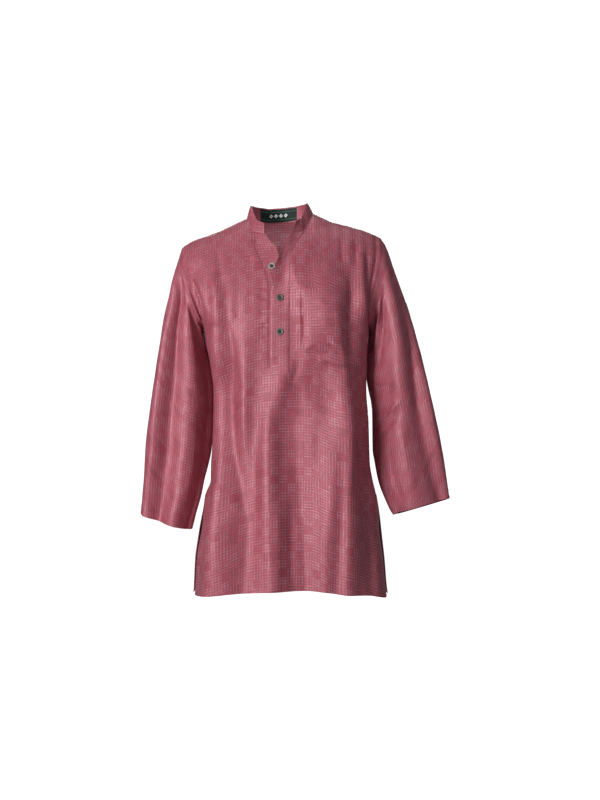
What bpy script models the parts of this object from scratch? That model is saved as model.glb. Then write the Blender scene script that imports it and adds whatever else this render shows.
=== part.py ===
"""Kurta tunic, worn hollow: a band collar, an open V neck over a buttoned placket, a chest pocket,
long plain sleeves and a skirt slit at both sides.

The frame: the front faces -Y, +X is the wearer's left, +Z is up. The origin is the middle of the
neck hole at the height of the wearer's right neck point, where the shoulders carry the garment.
All sizes are in millimetres and become metres where a mesh is made.
"""

import math

import bmesh
import bpy
import numpy as np

MM = 0.001

# Cloth walls and the clearance that seams keep.
BODY_CLOTH = 1.2
COLLAR_CLOTH = 2.2
BAND_CLOTH = 1.6
LABEL_CLOTH = 1.0
SEAM_GAP = 0.3
COLLAR_GAP = 0.5
ARMHOLE_GAP = 0.6
OVERLAY_GAP = 0.5
LABEL_GAP = 0.7
POCKET_GAP = 0.8
BAND_TUCK = 3.0

# Heights that the cut gives.
ARMPIT = -264.0
PLACKET_FOOT = -364.0
SLIT_TOP = -655.0
HEM = -888.0

# The torso's section is a superellipse, and the front and back roll over the shoulder crest.
ROLL = {"front": 60.0, "back": 70.0}
NECK_HALF = 79.0
BACK_NECK_DROP = 50.0
SLIT_OPEN = {"front": 16.0, "back": 12.0}
FRONT_FLAP_INSET = 6.0

# How finely the walls are divided.
SHOULDER_COLUMNS = 9
NECK_COLUMNS = 4
SLOT_COLUMNS = 2
BACK_NECK_COLUMNS = 8
YOKE_ROWS = 13
CHEST_ROWS = 5
WAIST_ROWS = 12
FLAP_ROWS = 9
SLEEVE_ROWS = 20
COLLAR_ROWS = 2
BAND_ROWS = 18
BAND_COLUMNS = 3
BUTTON_SIDES = 24

BUTTON_RADIUS = 8.2
BUTTON_THICKNESS = 3.0
BUTTON_SEAT = 0.6


class Table:
    """Rows with named columns. The first column is the place, and the others are read smoothly there."""

    def __init__(self, names, rows):
        columns = np.array(sorted(rows), float).T
        self.place = columns[0]
        self.values = dict(zip(names.split()[1:], columns[1:]))

    def read(self, name, at):
        """The column's value at each place, on a cubic through the rows that never overshoots them."""
        place, value = self.place, self.values[name]
        at = np.clip(at, place[0], place[-1])
        step = np.diff(place)
        slope = np.diff(value) / step
        before, after = slope[:-1], slope[1:]
        inner = np.where(before * after > 0, 2 * before * after / (before + after + 1e-12), 0.0)
        tangent = np.concatenate([slope[:1], inner, slope[-1:]])
        cell = np.clip(np.searchsorted(place, at, side="right") - 1, 0, len(step) - 1)
        t = (at - place[cell]) / step[cell]
        return (
            value[cell] * (1 + 2 * t) * (1 - t) ** 2
            + tangent[cell] * step[cell] * t * (1 - t) ** 2
            + value[cell + 1] * t**2 * (3 - 2 * t)
            - tangent[cell + 1] * step[cell] * t**2 * (1 - t)
        )


# Height of the shoulder crest across the garment; the wearer's left shoulder sits higher.
CREST = Table(
    "x z",
    [
        (-262, -84),
        (-228, -65),
        (-200, -50),
        (-159, -36),
        (-124, -21),
        (-95, -7),
        (-79, 0),
        (-40, 9),
        (0, 14),
        (40, 15),
        (79, 12),
        (90, 7),
        (121, -7),
        (174, -21),
        (205, -31),
        (228, -40),
        (262, -62),
    ],
)

# Torso: the sides' reach and the depth before and behind the side seams. Above the armpit the
# reach runs on past the armhole, so that the panels still turn towards the sleeves there.
BODY = Table(
    "z right left front back",
    [
        (20, -262, 266, 48, 88),
        (-40, -262, 264, 61, 98),
        (-65, -262, 262, 71, 104),
        (-100, -258, 258, 86, 111),
        (-145, -246, 249, 103, 116),
        (-193, -228, 237, 114, 118),
        (-228, -208, 229, 118, 118),
        (-245, -193, 219, 120, 117),
        (-264, -181, 212, 121, 116),
        (-300, -176, 209, 122, 114),
        (-336, -168, 208, 122, 111),
        (-371, -162, 207, 121, 108),
        (-407, -158, 206, 120, 106),
        (-478, -159, 211, 119, 105),
        (-550, -162, 213, 121, 107),
        (-578, -164, 214, 122, 109),
        (-621, -165, 221, 125, 112),
        (-650, -176, 228, 127, 114),
        (-693, -183, 236, 130, 116),
        (-750, -193, 243, 133, 119),
        (-807, -202, 250, 136, 122),
        (-864, -205, 255, 138, 125),
        (-888, -206, 258, 139, 126),
    ],
)

# The armhole seam, seen from the front: its distance from the middle plane at each height.
# How square the body's section is at each height: 2 is an ellipse.
SQUARENESS = Table("z power", [(20, 2.3), (-100, 2.4), (-240, 3.0), (-900, 3.0)])

# How far the hanging sleeves press the flanks in, most of it near the side plane.
PRESS = {
    "right": Table(
        "z dent",
        [(-264, 0), (-272, 2), (-295, 5), (-330, 5.5), (-490, 4.8), (-530, 3), (-590, 0)],
    ),
    "left": Table("z dent", [(-264, 0), (-272, 1.2), (-300, 3.5), (-330, 5), (-371, 4.2), (-415, 0)]),
}
PRESS_AT = 14.0
PRESS_WIDTH = 28.0

ARMHOLE = {
    "right": Table(
        "z x",
        [(-65, -228), (-102, -226), (-145, -216.6), (-193, -202), (-236, -188), (-264, -181)],
    ),
    "left": Table(
        "z x",
        [
            (-40, 228.5),
            (-78, 228.5),
            (-121, 223.7),
            (-157, 216.6),
            (-193, 210),
            (-228, 209.5),
            (-264, 212),
        ],
    ),
}
SHOULDER_TIP = {"right": (-228.0, -65.0), "left": (228.5, -40.2)}

# The placket: the seams that hold its two bands, the bands' free edges, and how far those stand
# forward in the open V.
PLACKET = Table(
    "z seam_right seam_left under_edge over_edge under_lift over_lift",
    [
        (-35, -62, 56, -36, 26, 3, 9),
        (-48, -59.5, 50, -30, 22, 6, 12),
        (-66, -55.5, 40, -16, 12, 8, 18),
        (-78, -52, 31, -6, 5.7, 7, 21),
        (-105, -40, 22, -1, -2.5, 4, 23),
        (-124, -31, 21, 1, -8.8, 2, 19),
        (-162, -20.6, 21, 8, -13.5, 0, 7),
        (-182, -19.4, 21, 13, -19.4, 0, 1),
        (-200, -19.2, 21, 15, -20.5, 0, 0),
        (-364, -19.2, 21, 15, -20.5, 0, 0),
    ],
)

# Height of the hem across the front and the back.
HEM_LINE = {
    "front": Table(
        "x z",
        [
            (-206, -889),
            (-150, -882),
            (-106, -876),
            (-71, -873.5),
            (-24, -870),
            (65, -868),
            (112, -872),
            (150, -878),
            (211, -882),
            (258, -896),
        ],
    ),
    "back": Table("x z", [(-206, -889), (-110, -886), (26, -882), (160, -886), (258, -893)]),
}


def fold(*rows):
    """One fold down a panel: its crest's place, its height, and how wide each of its sides is."""
    return Table("z x height right left", rows)


# The large folds, as each runs down its panel; a negative height is a trough.
FOLDS = {
    "front": [
        fold(
            (-80, -146, 0, 16, 12), (-150, -149, 8, 16, 14), (-250, -142, 14, 22, 18),
            (-330, -141, 14, 26, 20), (-420, -138, 0, 24, 18),
        ),
        fold(
            (-240, -80, 0, 22, 20), (-360, -80, 10, 18, 18), (-480, -82, 11, 17, 18),
            (-640, -104, 8, 42, 27), (-760, -132, 17, 34, 42), (-900, -122, 12, 36, 30),
        ),
        fold(
            (-330, 26, 0, 35, 20), (-400, 4, 11, 34, 22), (-470, -19, 12, 26, 25),
            (-560, -25, 17, 22, 27), (-700, -23, 22, 27, 31), (-900, -16, 23, 36, 34),
        ),
        fold(
            (-420, 138, 0, 42, 21), (-520, 132, 17, 32, 34), (-700, 116, 17, 28, 28),
            (-900, 104, 9, 28, 18),
        ),
        fold(
            (-90, 118, 0, 33, 24), (-160, 123, 12, 52, 30), (-230, 125, 15, 38, 25),
            (-310, 136, 12, 30, 18), (-400, 148, 17, 28, 24), (-520, 157, 20, 19, 21),
            (-700, 156, 20, 16, 30), (-900, 153, 18, 17, 28),
        ),
        fold(
            (-420, 190, 0, 16, 18), (-560, 188, -7, 16, 20), (-760, 212, -8, 21, 23),
            (-900, 222, -4, 22, 24),
        ),
        fold(
            (-480, -140, 0, 16, 18), (-600, -136, 13, 16, 18), (-720, -146, 16, 18, 23),
            (-900, -162, 15, 18, 28),
        ),
        fold(
            (-330, -116, 0, 20, 28), (-400, -122, -12, 18, 26), (-480, -120, -14, 20, 30),
            (-560, -106, -12, 22, 36), (-640, -88, -10, 26, 34), (-720, -72, -8, 28, 24),
            (-900, -88, -6, 26, 25),
        ),
        fold(
            (-40, 44, 0, 28, 76), (-75, 44, 11, 28, 76), (-120, 48, 13, 28, 66),
            (-190, 64, 12, 32, 52), (-290, 88, 9, 38, 42), (-380, 70, 0, 36, 48),
        ),
        fold(
            (-400, 38, 0, 30, 26), (-500, 28, -8, 28, 30), (-640, 44, -10, 34, 42),
            (-780, 58, -10, 34, 32), (-900, 62, -10, 36, 34),
        ),
        fold(
            (-640, -155, 0, 10, 12), (-690, -163, -6, 10, 12), (-790, -182, -5, 10, 12),
            (-850, -188, 0, 10, 12),
        ),
    ],
    "back": [
        fold(
            (-120, -120, 0, 22, 26), (-260, -118, 7, 24, 28), (-420, -112, 9, 24, 28),
            (-640, -118, 11, 26, 30), (-900, -126, 15, 28, 32),
        ),
        fold(
            (-200, -30, 0, 26, 22), (-380, -34, 8, 28, 24), (-600, -40, 12, 30, 26),
            (-900, -48, 17, 32, 28),
        ),
        fold(
            (-260, 52, 0, 24, 26), (-420, 50, 7, 24, 28), (-640, 48, 10, 26, 30),
            (-900, 44, 14, 28, 32),
        ),
        fold(
            (-110, 132, 0, 26, 22), (-240, 134, 8, 28, 22), (-420, 128, 10, 28, 24),
            (-640, 134, 13, 30, 26), (-900, 142, 17, 32, 28),
        ),
        fold(
            (-520, 196, 0, 18, 18), (-700, 204, 7, 20, 20), (-900, 214, 10, 22, 22),
        ),
        fold(
            (-560, -166, 0, 16, 16), (-720, -176, 6, 18, 18), (-900, -184, 8, 20, 20),
        ),
    ],
}
FOLD_FADE_SIDE = 34.0
FOLD_FADE_CREST = 45.0

# Sleeve outlines from the front: the outer and the inner edge at each height.
SLEEVE_EDGE = {
    "right": {
        "outer": Table(
            "z x",
            [
                (-65, -228),
                (-79, -236),
                (-107, -244),
                (-136, -252),
                (-193, -264),
                (-250, -276),
                (-300, -284),
                (-371, -295),
                (-443, -305),
                (-514, -312.5),
                (-585, -318),
                (-657, -325),
                (-697, -328),
            ],
        ),
        "inner": Table(
            "z x",
            [
                (-264, -181),
                (-280, -180),
                (-300, -174.5),
                (-336, -165),
                (-371, -158.5),
                (-407, -155),
                (-478, -156),
                (-514, -159),
                (-550, -162),
                (-585, -169),
                (-621, -178),
                (-657, -185),
                (-693, -195),
                (-735, -206),
            ],
        ),
    },
    "left": {
        "outer": Table(
            "z x",
            [
                (-40, 228.5),
                (-50, 241),
                (-64, 251),
                (-93, 262),
                (-121, 271),
                (-164, 286),
                (-221, 305),
                (-300, 327),
                (-371, 345),
                (-443, 360.6),
                (-514, 376),
                (-585, 389),
                (-640, 397),
                (-664, 400),
            ],
        ),
        "inner": Table(
            "z x",
            [
                (-264, 212),
                (-280, 212.5),
                (-300, 210.5),
                (-336, 206.5),
                (-371, 205.5),
                (-395, 207),
                (-415, 211),
                (-436, 215.5),
                (-464, 218),
                (-550, 219),
                (-578, 223.5),
                (-607, 228.5),
                (-635, 235.5),
                (-664, 247),
                (-692, 260),
                (-702, 267),
            ],
        ),
    },
}

# Along each sleeve, from armhole to cuff: the heights of a section's outer and inner ends, half its
# depth, how far forward its middle hangs, and how much lower its front hangs than its back.
SLEEVE_RUN = {
    "right": Table(
        "along outer inner depth forward dip",
        [
            (0.0, -65, -264, 60, 0, 0),
            (0.1, -104, -267, 60, 0, 0),
            (0.2, -150, -273, 59, 1, 0),
            (0.3, -208, -289, 58, 2, 0),
            (0.4, -275, -324, 57, 4, 0),
            (0.5, -344, -376, 55, 7, 1),
            (0.6, -414, -442, 52, 10, 2),
            (0.8, -556, -584, 43, 17, 4),
            (1.0, -697, -735, 33, 24, 6),
        ],
    ),
    "left": Table(
        "along outer inner depth forward dip",
        [
            (0.0, -40, -264, 60, 0, 0),
            (0.1, -82, -267, 60, 0, 0),
            (0.2, -130, -274, 59, 1, 0),
            (0.3, -190, -292, 58, 2, 0),
            (0.4, -256, -326, 57, 4, 0),
            (0.5, -322, -374, 55, 7, 0),
            (0.6, -390, -432, 52, 10, -1),
            (0.8, -528, -562, 43, 16, -3),
            (1.0, -664, -702, 34, 22, -5),
        ],
    ),
}


def sleeve_fold(*rows):
    """One fold along a sleeve: its crest's angle and half width in degrees, and its height."""
    return Table("along angle height spread", rows)


# Angles run from the outer edge (0) over the front (90) and the inner edge (180) to the back (270).
SLEEVE_FOLDS = {
    "right": [
        sleeve_fold((0.06, 34, 0, 16), (0.22, 36, 6, 15), (0.5, 38, 8, 15), (1.0, 38, 8, 16)),
        sleeve_fold((0.06, 66, 0, 15), (0.22, 69, -14, 15), (0.55, 72, -17, 17), (1.0, 72, -15, 17)),
        sleeve_fold((0.1, 96, 0, 18), (0.3, 100, 9, 17), (0.55, 104, 12, 18), (1.0, 106, 12, 19)),
        sleeve_fold((0.15, 130, 0, 13), (0.35, 134, -7, 14), (0.6, 144, -6, 14), (1.0, 150, -6, 14)),
        sleeve_fold((0.2, 250, 0, 22), (0.5, 246, 6, 22), (1.0, 240, 8, 22)),
        sleeve_fold((0.3, 300, 0, 18), (0.6, 304, -5, 18), (1.0, 300, -7, 18)),
    ],
    "left": [
        sleeve_fold((0.12, 22, 0, 14), (0.35, 22, 2, 14), (0.6, 28, 4, 14), (1.0, 24, 4, 14)),
        sleeve_fold(
            (0.08, 32, 0, 16), (0.3, 34, -8, 16), (0.44, 40, -10, 16), (0.6, 57, -11, 16),
            (0.76, 62, -11, 16), (0.88, 54, -8, 18), (1.0, 46, -8, 18),
        ),
        sleeve_fold(
            (0.1, 66, 0, 20), (0.35, 74, 9, 18), (0.6, 88, 12, 19), (0.76, 98, 12, 21),
            (1.0, 104, 9, 26),
        ),
        sleeve_fold((0.2, 128, 0, 14), (0.42, 130, -4, 14), (0.8, 140, -4, 16), (1.0, 146, -5, 16)),
        sleeve_fold((0.2, 236, 0, 22), (0.5, 240, 6, 22), (1.0, 246, 8, 22)),
        sleeve_fold((0.3, 296, 0, 18), (0.6, 292, -5, 18), (1.0, 298, -7, 18)),
    ],
}

# How far a sleeve's outer edge and front turn forward and its inner edge back, away from its ends.
SLEEVE_SKEW = {"right": -19.0, "left": -14.0}

# The collar's upper edge, measured from its seam: place along the seam, then the move to the top.
COLLAR_TOP = Table(
    "along right_left out_in rise",
    [
        (0.0, -0.5, 6, 25),
        (0.09, 9, 8, 28),
        (0.25, 9.5, -3, 32.6),
        (0.5, 0, -4, 36),
        (0.75, -13.5, -3, 26),
        (0.91, -4, 6, 33),
        (1.0, 13, 5, 30),
    ],
)
COLLAR_END = {"right": (-36.0, -42.0), "left": (25.0, -47.0)}
SEAM_HEAD = {"right": -35.0, "left": -40.0}
BAND_HEAD = {"under": 5.0, "over": 1.5}
# Each band: the side of the front that it is sewn to, how far it reaches past that seam, and how far
# its face stands out from the front's outer side.
BAND_SEAT = {
    "under": ("right", -BAND_TUCK, -BODY_CLOTH - 3 * OVERLAY_GAP),
    "over": ("left", BAND_TUCK, 2.2 * OVERLAY_GAP + BAND_CLOTH),
}
BAND_LOOSE = 0.85

POCKET_OUTLINE = ((55, -177), (58, -316), (153, -327), (152, -179))
POCKET_ROWS = (6, 19)
POCKET_COLUMNS = 10
CUTTER_PAST = 20.0
LABEL = {"right": -48.0, "left": 40.0, "foot": 0.06, "top": 0.94}
# Each button: the band that it is sewn to, its place across from the free edge, and its height.
BUTTONS = (("under", 0.51, -121.0), ("over", 0.49, -196.0), ("over", 0.49, -274.0))

# A button's half section from the middle of its face to the middle of its back, as shares of its
# radius and thickness.
BUTTON_PROFILE = (
    (0.0, 0.55),
    (0.48, 0.55),
    (0.62, 0.85),
    (0.82, 1.0),
    (0.97, 0.78),
    (1.0, 0.35),
    (0.86, 0.0),
    (0.0, 0.0),
)

COLOURS = {
    "rose_cloth": ((0.368, 0.113, 0.144), 0.62),
    "label_green": ((0.020, 0.034, 0.030), 0.7),
    "horn_button": ((0.085, 0.088, 0.072), 0.35),
}


def smooth(t):
    """Rises from 0 to 1 with level ends."""
    t = np.clip(t, 0.0, 1.0)
    return t * t * (3 - 2 * t)


def unit(vectors):
    """The vectors at length one."""
    return vectors / np.maximum(np.linalg.norm(vectors, axis=-1, keepdims=True), 1e-9)


def blend(a, b, t):
    """The value that lies the fraction t of the way from a to b."""
    return a + (b - a) * t


def drop_at(x, z, face):
    """Length of cloth from the shoulder crest down to this height, round the shoulder's roll."""
    roll = ROLL[face]
    fall = CREST.read("z", x) - z
    bend = np.arccos(np.clip(1 - fall / roll, 0.0, 1.0))
    return np.where(fall < roll, roll * bend, fall + roll * (math.pi / 2 - 1))


def height_at(x, drop, face):
    """Height that this length of cloth reaches down to from the shoulder crest."""
    roll = ROLL[face]
    bend = np.minimum(drop / roll, math.pi / 2)
    return CREST.read("z", x) - roll * (1 - np.cos(bend)) - np.maximum(drop - roll * math.pi / 2, 0.0)


def edge_at(z, side):
    """Where the panel ends at this height: the armhole seam, or the side seam below it."""
    return np.where(z > ARMPIT, ARMHOLE[side].read("x", z), BODY.read(side, z))


def fold_height(x, z, face):
    """How far the panel's folds push it out here, fading towards the seams that hold it flat."""
    total = np.zeros(np.shape(x))
    for one in FOLDS[face]:
        away = x - one.read("x", z)
        width = np.where(away < 0, one.read("right", z), one.read("left", z))
        total = total + one.read("height", z) * np.exp(-((away / width) ** 2))
    to_side = np.minimum(x - edge_at(z, "right"), edge_at(z, "left") - x)
    held = smooth(to_side / FOLD_FADE_SIDE)
    loose = 0.5 * smooth((SLIT_TOP - z) / 120.0)
    return total * np.maximum(held, loose) * smooth((CREST.read("z", x) - z) / FOLD_FADE_CREST)


def flap_edge(z, side, face):
    """The panel's edge below the armpit; the front flaps hang a little inside the back ones."""
    inset = FRONT_FLAP_INSET * smooth((SLIT_TOP - z) / 90.0) if face == "front" else 0.0
    return BODY.read(side, z) + (inset if side == "right" else -inset)


def body_base(x, drop, face):
    """A point of the smooth panel, before its folds."""
    z = height_at(x, drop, face)
    right, left = flap_edge(z, "right", face), flap_edge(z, "left", face)
    across = np.clip(np.abs(x - (left + right) / 2) / ((left - right) / 2), 0.0, 1.0)
    power = SQUARENESS.read("power", z)
    section = (1 - across**power) ** (1 / power)
    opened = SLIT_OPEN[face] * smooth((SLIT_TOP - z) / (SLIT_TOP - HEM))
    rolled = np.sin(np.minimum(drop / ROLL[face], math.pi / 2))
    depth = (opened + (BODY.read(face, z) - opened) * section) * rolled + SEAM_GAP / 2
    y = depth if face == "back" else -depth
    return np.stack([x + 0 * y, y, z], axis=-1)


def slopes(point_at, across, down, step=0.5):
    """The surface's outward normal, from how its point moves across and down."""
    over = point_at(across + step, down) - point_at(across - step, down)
    along = point_at(across, down + step) - point_at(across, np.maximum(down - step, 0.0))
    return unit(np.cross(along, over))


def flank_press(base):
    """How far across the hanging sleeves press each of these points of the smooth panel."""
    x, y, z = (base[..., k] for k in range(3))
    near = np.exp(-(((y - PRESS_AT) / PRESS_WIDTH) ** 2))
    return np.where(x < 0, PRESS["right"].read("dent", z), -PRESS["left"].read("dent", z)) * near


def panel_surface(x, drop, face):
    """Points of the folded panel."""
    turn = 1 if face == "front" else -1
    base = body_base(x, drop, face)
    outward = turn * slopes(lambda a, b: body_base(a, b, face), x, drop)
    folded = base + outward * fold_height(x, base[..., 2], face)[..., None]
    folded[..., 0] += flank_press(base)
    return folded


def panel_normal(x, drop, face):
    """Outward normals of the folded panel."""
    turn = 1 if face == "front" else -1
    return turn * slopes(lambda a, b: panel_surface(a, b, face), x, drop)


def coons(start, end, top, foot):
    """Fills four edges that share their corners: start and end run down, top and foot run across."""
    down = np.linspace(0, 1, len(start))[:, None, None]
    over = np.linspace(0, 1, len(top))[None, :, None]
    sides = blend(start[:, None], end[:, None], over)
    ends = blend(top[None, :], foot[None, :], down)
    corners = blend(
        blend(top[0], top[-1], over),
        blend(foot[0], foot[-1], over),
        down,
    )
    return sides + ends - corners


def crowded(start, end, count):
    """Places from start to end, closer together near the start, where the panel turns round the side."""
    return blend(start, end, np.linspace(0, 1, count + 1) ** 1.5)


def armhole_edge(side, face):
    """The armhole as places across and lengths down, from the shoulder tip to the armpit."""
    tip_x, tip_z = SHOULDER_TIP[side]
    deepest = drop_at(tip_x, ARMPIT, face)
    z = height_at(tip_x, np.linspace(0, deepest, YOKE_ROWS + 1), face)
    z[-1] = ARMPIT
    x = ARMHOLE[side].read("x", z)
    x[0] = tip_x
    drop = drop_at(x, z, face)
    drop[0] = 0.0
    return np.stack([x, drop], axis=-1)


def front_yoke(side):
    """Upper front of one side, from the armhole to the placket seam, down to the armpit."""
    sign = -1 if side == "right" else 1
    start = armhole_edge(side, "front")
    seam_top = SEAM_HEAD[side]
    seam_x = PLACKET.read("seam_" + side, seam_top)
    seam_drop = drop_at(seam_x, seam_top, "front")
    shoulder_x = np.linspace(start[0, 0], sign * NECK_HALF, SHOULDER_COLUMNS + 1)
    shoulder = np.stack([shoulder_x, np.zeros(len(shoulder_x))], axis=-1)
    round_neck = np.linspace(0, 1, NECK_COLUMNS + 1)[1:]
    neck_x = blend(sign * NECK_HALF, seam_x, round_neck**2)
    top = np.concatenate([shoulder, np.stack([neck_x, seam_drop * round_neck], axis=-1)])
    end_z = np.linspace(seam_top, ARMPIT, YOKE_ROWS + 1)
    end_x = PLACKET.read("seam_" + side, end_z)
    end = np.stack([end_x, drop_at(end_x, end_z, "front")], axis=-1)
    end[0] = top[-1]
    foot_x = crowded(start[-1, 0], end[-1, 0], SHOULDER_COLUMNS + NECK_COLUMNS)
    foot = np.stack([foot_x, drop_at(foot_x, ARMPIT, "front")], axis=-1)
    foot[0], foot[-1] = start[-1], end[-1]
    return coons(start, end, top, foot)


def lower_levels():
    """Heights of the rows below the armpit, to the placket's foot, the slits and the hem."""
    return np.concatenate(
        [
            np.linspace(ARMPIT, PLACKET_FOOT, CHEST_ROWS + 1)[1:],
            np.linspace(PLACKET_FOOT, SLIT_TOP, WAIST_ROWS + 1)[1:],
            np.linspace(SLIT_TOP, HEM, FLAP_ROWS + 1)[1:],
        ]
    )


def to_hem(x, z, face):
    """Lets the rows below the slits follow the hem's own line."""
    share = smooth((SLIT_TOP - z) / (SLIT_TOP - HEM)) ** 1.2
    return z + share * (HEM_LINE[face].read("z", x) - HEM)


def front_grid():
    """Places across and lengths down of the whole front, with the placket's slot still filled."""
    right, left = front_yoke("right"), front_yoke("left")[:, ::-1]
    inside = np.linspace(0, 1, SLOT_COLUMNS + 1)[None, 1:-1, None]
    slot = blend(right[:, -1:], left[:, :1], inside)
    yoke = np.concatenate([right, slot, left], axis=1)
    rows = []
    for z in lower_levels():
        seam = PLACKET.read("seam_right", z), PLACKET.read("seam_left", z)
        count = SHOULDER_COLUMNS + NECK_COLUMNS
        x = np.concatenate(
            [
                crowded(flap_edge(z, "right", "front"), seam[0], count),
                np.linspace(*seam, SLOT_COLUMNS + 1)[1:-1],
                crowded(flap_edge(z, "left", "front"), seam[1], count)[::-1],
            ]
        )
        rows.append(np.stack([x, drop_at(x, to_hem(x, z, "front"), "front")], axis=-1))
    return np.concatenate([yoke, np.array(rows)])


def back_grid():
    """Places across and lengths down of the whole back."""
    starts = armhole_edge("right", "back"), armhole_edge("left", "back")
    shoulder = [np.linspace(starts[0][0, 0], -NECK_HALF, SHOULDER_COLUMNS)]
    shoulder.append(np.linspace(NECK_HALF, starts[1][0, 0], SHOULDER_COLUMNS))
    turn = np.linspace(0, math.pi, BACK_NECK_COLUMNS + 1)[1:-1]
    top_x = np.concatenate([shoulder[0], -NECK_HALF * np.cos(turn), shoulder[1]])
    neck_drop = BACK_NECK_DROP * np.sin(turn)
    flat = np.zeros(SHOULDER_COLUMNS)
    top = np.stack([top_x, np.concatenate([flat, neck_drop, flat])], axis=-1)
    count = len(top_x) - 1
    spread = np.linspace(-1, 1, count + 1)
    spread = np.sign(spread) * (1 - (1 - np.abs(spread)) ** 1.5)

    def across(right, left):
        return (right + left) / 2 + (left - right) / 2 * spread

    foot_x = across(starts[0][-1, 0], starts[1][-1, 0])
    foot = np.stack([foot_x, drop_at(foot_x, ARMPIT, "back")], axis=-1)
    foot[0], foot[-1] = starts[0][-1], starts[1][-1]
    rows = []
    for z in lower_levels():
        x = across(flap_edge(z, "right", "back"), flap_edge(z, "left", "back"))
        rows.append(np.stack([x, drop_at(x, to_hem(x, z, "back"), "back")], axis=-1))
    return np.concatenate([coons(starts[0], starts[1], top, foot), np.array(rows)])


def in_side_plane(vectors):
    """The vectors turned into the plane of the side and shoulder seams, which both panels share."""
    level = vectors.copy()
    level[..., 1] = 0.0
    return unit(level)


def panel(face):
    """Outer points of a panel and the moves from them to its inner points."""
    grid = front_grid() if face == "front" else back_grid()
    points = panel_surface(grid[..., 0], grid[..., 1], face)
    normals = panel_normal(grid[..., 0], grid[..., 1], face)
    seam_end = YOKE_ROWS + CHEST_ROWS + WAIST_ROWS + 1
    for column in (0, -1):
        normals[YOKE_ROWS:seam_end, column] = in_side_plane(normals[YOKE_ROWS:seam_end, column])
    shoulder = SHOULDER_COLUMNS + 1 if face == "front" else SHOULDER_COLUMNS
    normals[0, :shoulder] = in_side_plane(normals[0, :shoulder])
    normals[0, -shoulder:] = in_side_plane(normals[0, -shoulder:])
    return points, normals


def material(name):
    """A plain Principled material in the named colour."""
    made = bpy.data.materials.get(name)
    if made is None:
        made = bpy.data.materials.new(name)
        made.use_nodes = True
        colour, roughness = COLOURS[name]
        shader = made.node_tree.nodes["Principled BSDF"]
        shader.inputs["Base Color"].default_value = (*colour, 1.0)
        shader.inputs["Roughness"].default_value = roughness
        shader.inputs["Metallic"].default_value = 0.0
    return made


def place(name, mesh, finish):
    """Puts a bmesh into the scene as a named, smooth-shaded object."""
    data = bpy.data.meshes.new(name)
    mesh.to_mesh(data)
    mesh.free()
    data.materials.append(material(finish))
    made = bpy.data.objects.new(name, data)
    bpy.context.scene.collection.objects.link(made)
    data.shade_smooth()
    data.set_sharp_from_angle(angle=math.radians(50))
    return made


def wall(name, outer, inner, finish, turned=False, tube=False, kept=None):
    """Builds a cloth wall between two grids of points, with a rim along every free edge."""
    rows, columns = outer.shape[:2]
    mesh = bmesh.new()
    corners = {}

    def corner(layer, row, column):
        key = (layer, row, column % columns)
        if key not in corners:
            grid = outer if layer == 0 else inner
            corners[key] = mesh.verts.new(grid[row, column % columns] * MM)
        return corners[key]

    rim = {}
    for row in range(rows - 1):
        for column in range(columns if tube else columns - 1):
            if kept is not None and not kept[row, column]:
                continue
            ring = [(row, column), (row + 1, column), (row + 1, column + 1), (row, column + 1)]
            ring = [(r, c % columns) for r, c in (ring[::-1] if turned else ring)]
            for triangle in ((ring[0], ring[1], ring[2]), (ring[0], ring[2], ring[3])):
                mesh.faces.new([corner(0, *at) for at in triangle])
                mesh.faces.new([corner(1, *at) for at in triangle[::-1]])
            for a, b in zip(ring, ring[1:] + ring[:1]):
                if rim.pop((b, a), None) is None:
                    rim[(a, b)] = True
    for a, b in rim:
        mesh.faces.new([corner(0, *b), corner(0, *a), corner(1, *a), corner(1, *b)])
    return place(name, mesh, finish)


def armhole_ring(side, front, back):
    """The armhole's points and normals, from the shoulder tip down the front and up the back."""
    column = 0 if side == "right" else -1
    down = slice(0, YOKE_ROWS + 1)
    points = np.concatenate([front[0][down, column], back[0][down, column][-2:0:-1]])
    normals = np.concatenate([front[1][down, column], back[1][down, column][-2:0:-1]])
    points[[0, YOKE_ROWS], 1] = 0.0
    return points, normals


def mitred(first, second, away):
    """The move to the inner side that two walls share at a seam that folds outward, and their own
    moves where it folds inward; away points from the seam into the second wall."""
    shared = unit(first + second)
    shared = shared / np.maximum(np.sum(shared * first, axis=-1, keepdims=True), 0.5)
    outward = np.sum(first * away, axis=-1, keepdims=True) < 0
    return np.where(outward, shared, first), np.where(outward, shared, second)


def square_to(moves, line):
    """The moves with their part along a line of points taken out, at length one."""
    along = unit(line)
    return unit(moves - along * np.sum(moves * along, axis=-1, keepdims=True))


def sleeve_ring(side, along, angles):
    """One plain section of a sleeve: its points at the given angles."""
    run, edge = SLEEVE_RUN[side], SLEEVE_EDGE[side]
    ends = []
    for name in ("outer", "inner"):
        z = run.read(name, along)
        ends.append(np.array([edge[name].read("x", z), 0.0, z]))
    middle = (ends[0] + ends[1]) / 2
    reach = (ends[0] - ends[1]) / 2
    middle[1] -= run.read("forward", along)
    forward = np.array([0.0, -run.read("depth", along), -run.read("dip", along)])
    points = middle + np.cos(angles)[:, None] * reach + np.sin(angles)[:, None] * forward
    skew = SLEEVE_SKEW[side] * smooth(along / 0.3) * smooth((1 - along) / 0.3)
    points[:, 1] += skew * np.cos(angles) * smooth(1 + np.sin(angles))
    return points


def sleeve_fold_height(side, along, angles):
    """How far the sleeve's folds push it out at each angle of a section."""
    total = np.zeros(len(angles))
    for one in SLEEVE_FOLDS[side]:
        away = (np.degrees(angles) - one.read("angle", along) + 180) % 360 - 180
        total += one.read("height", along) * np.exp(-((away / one.read("spread", along)) ** 2))
    return total


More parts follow.
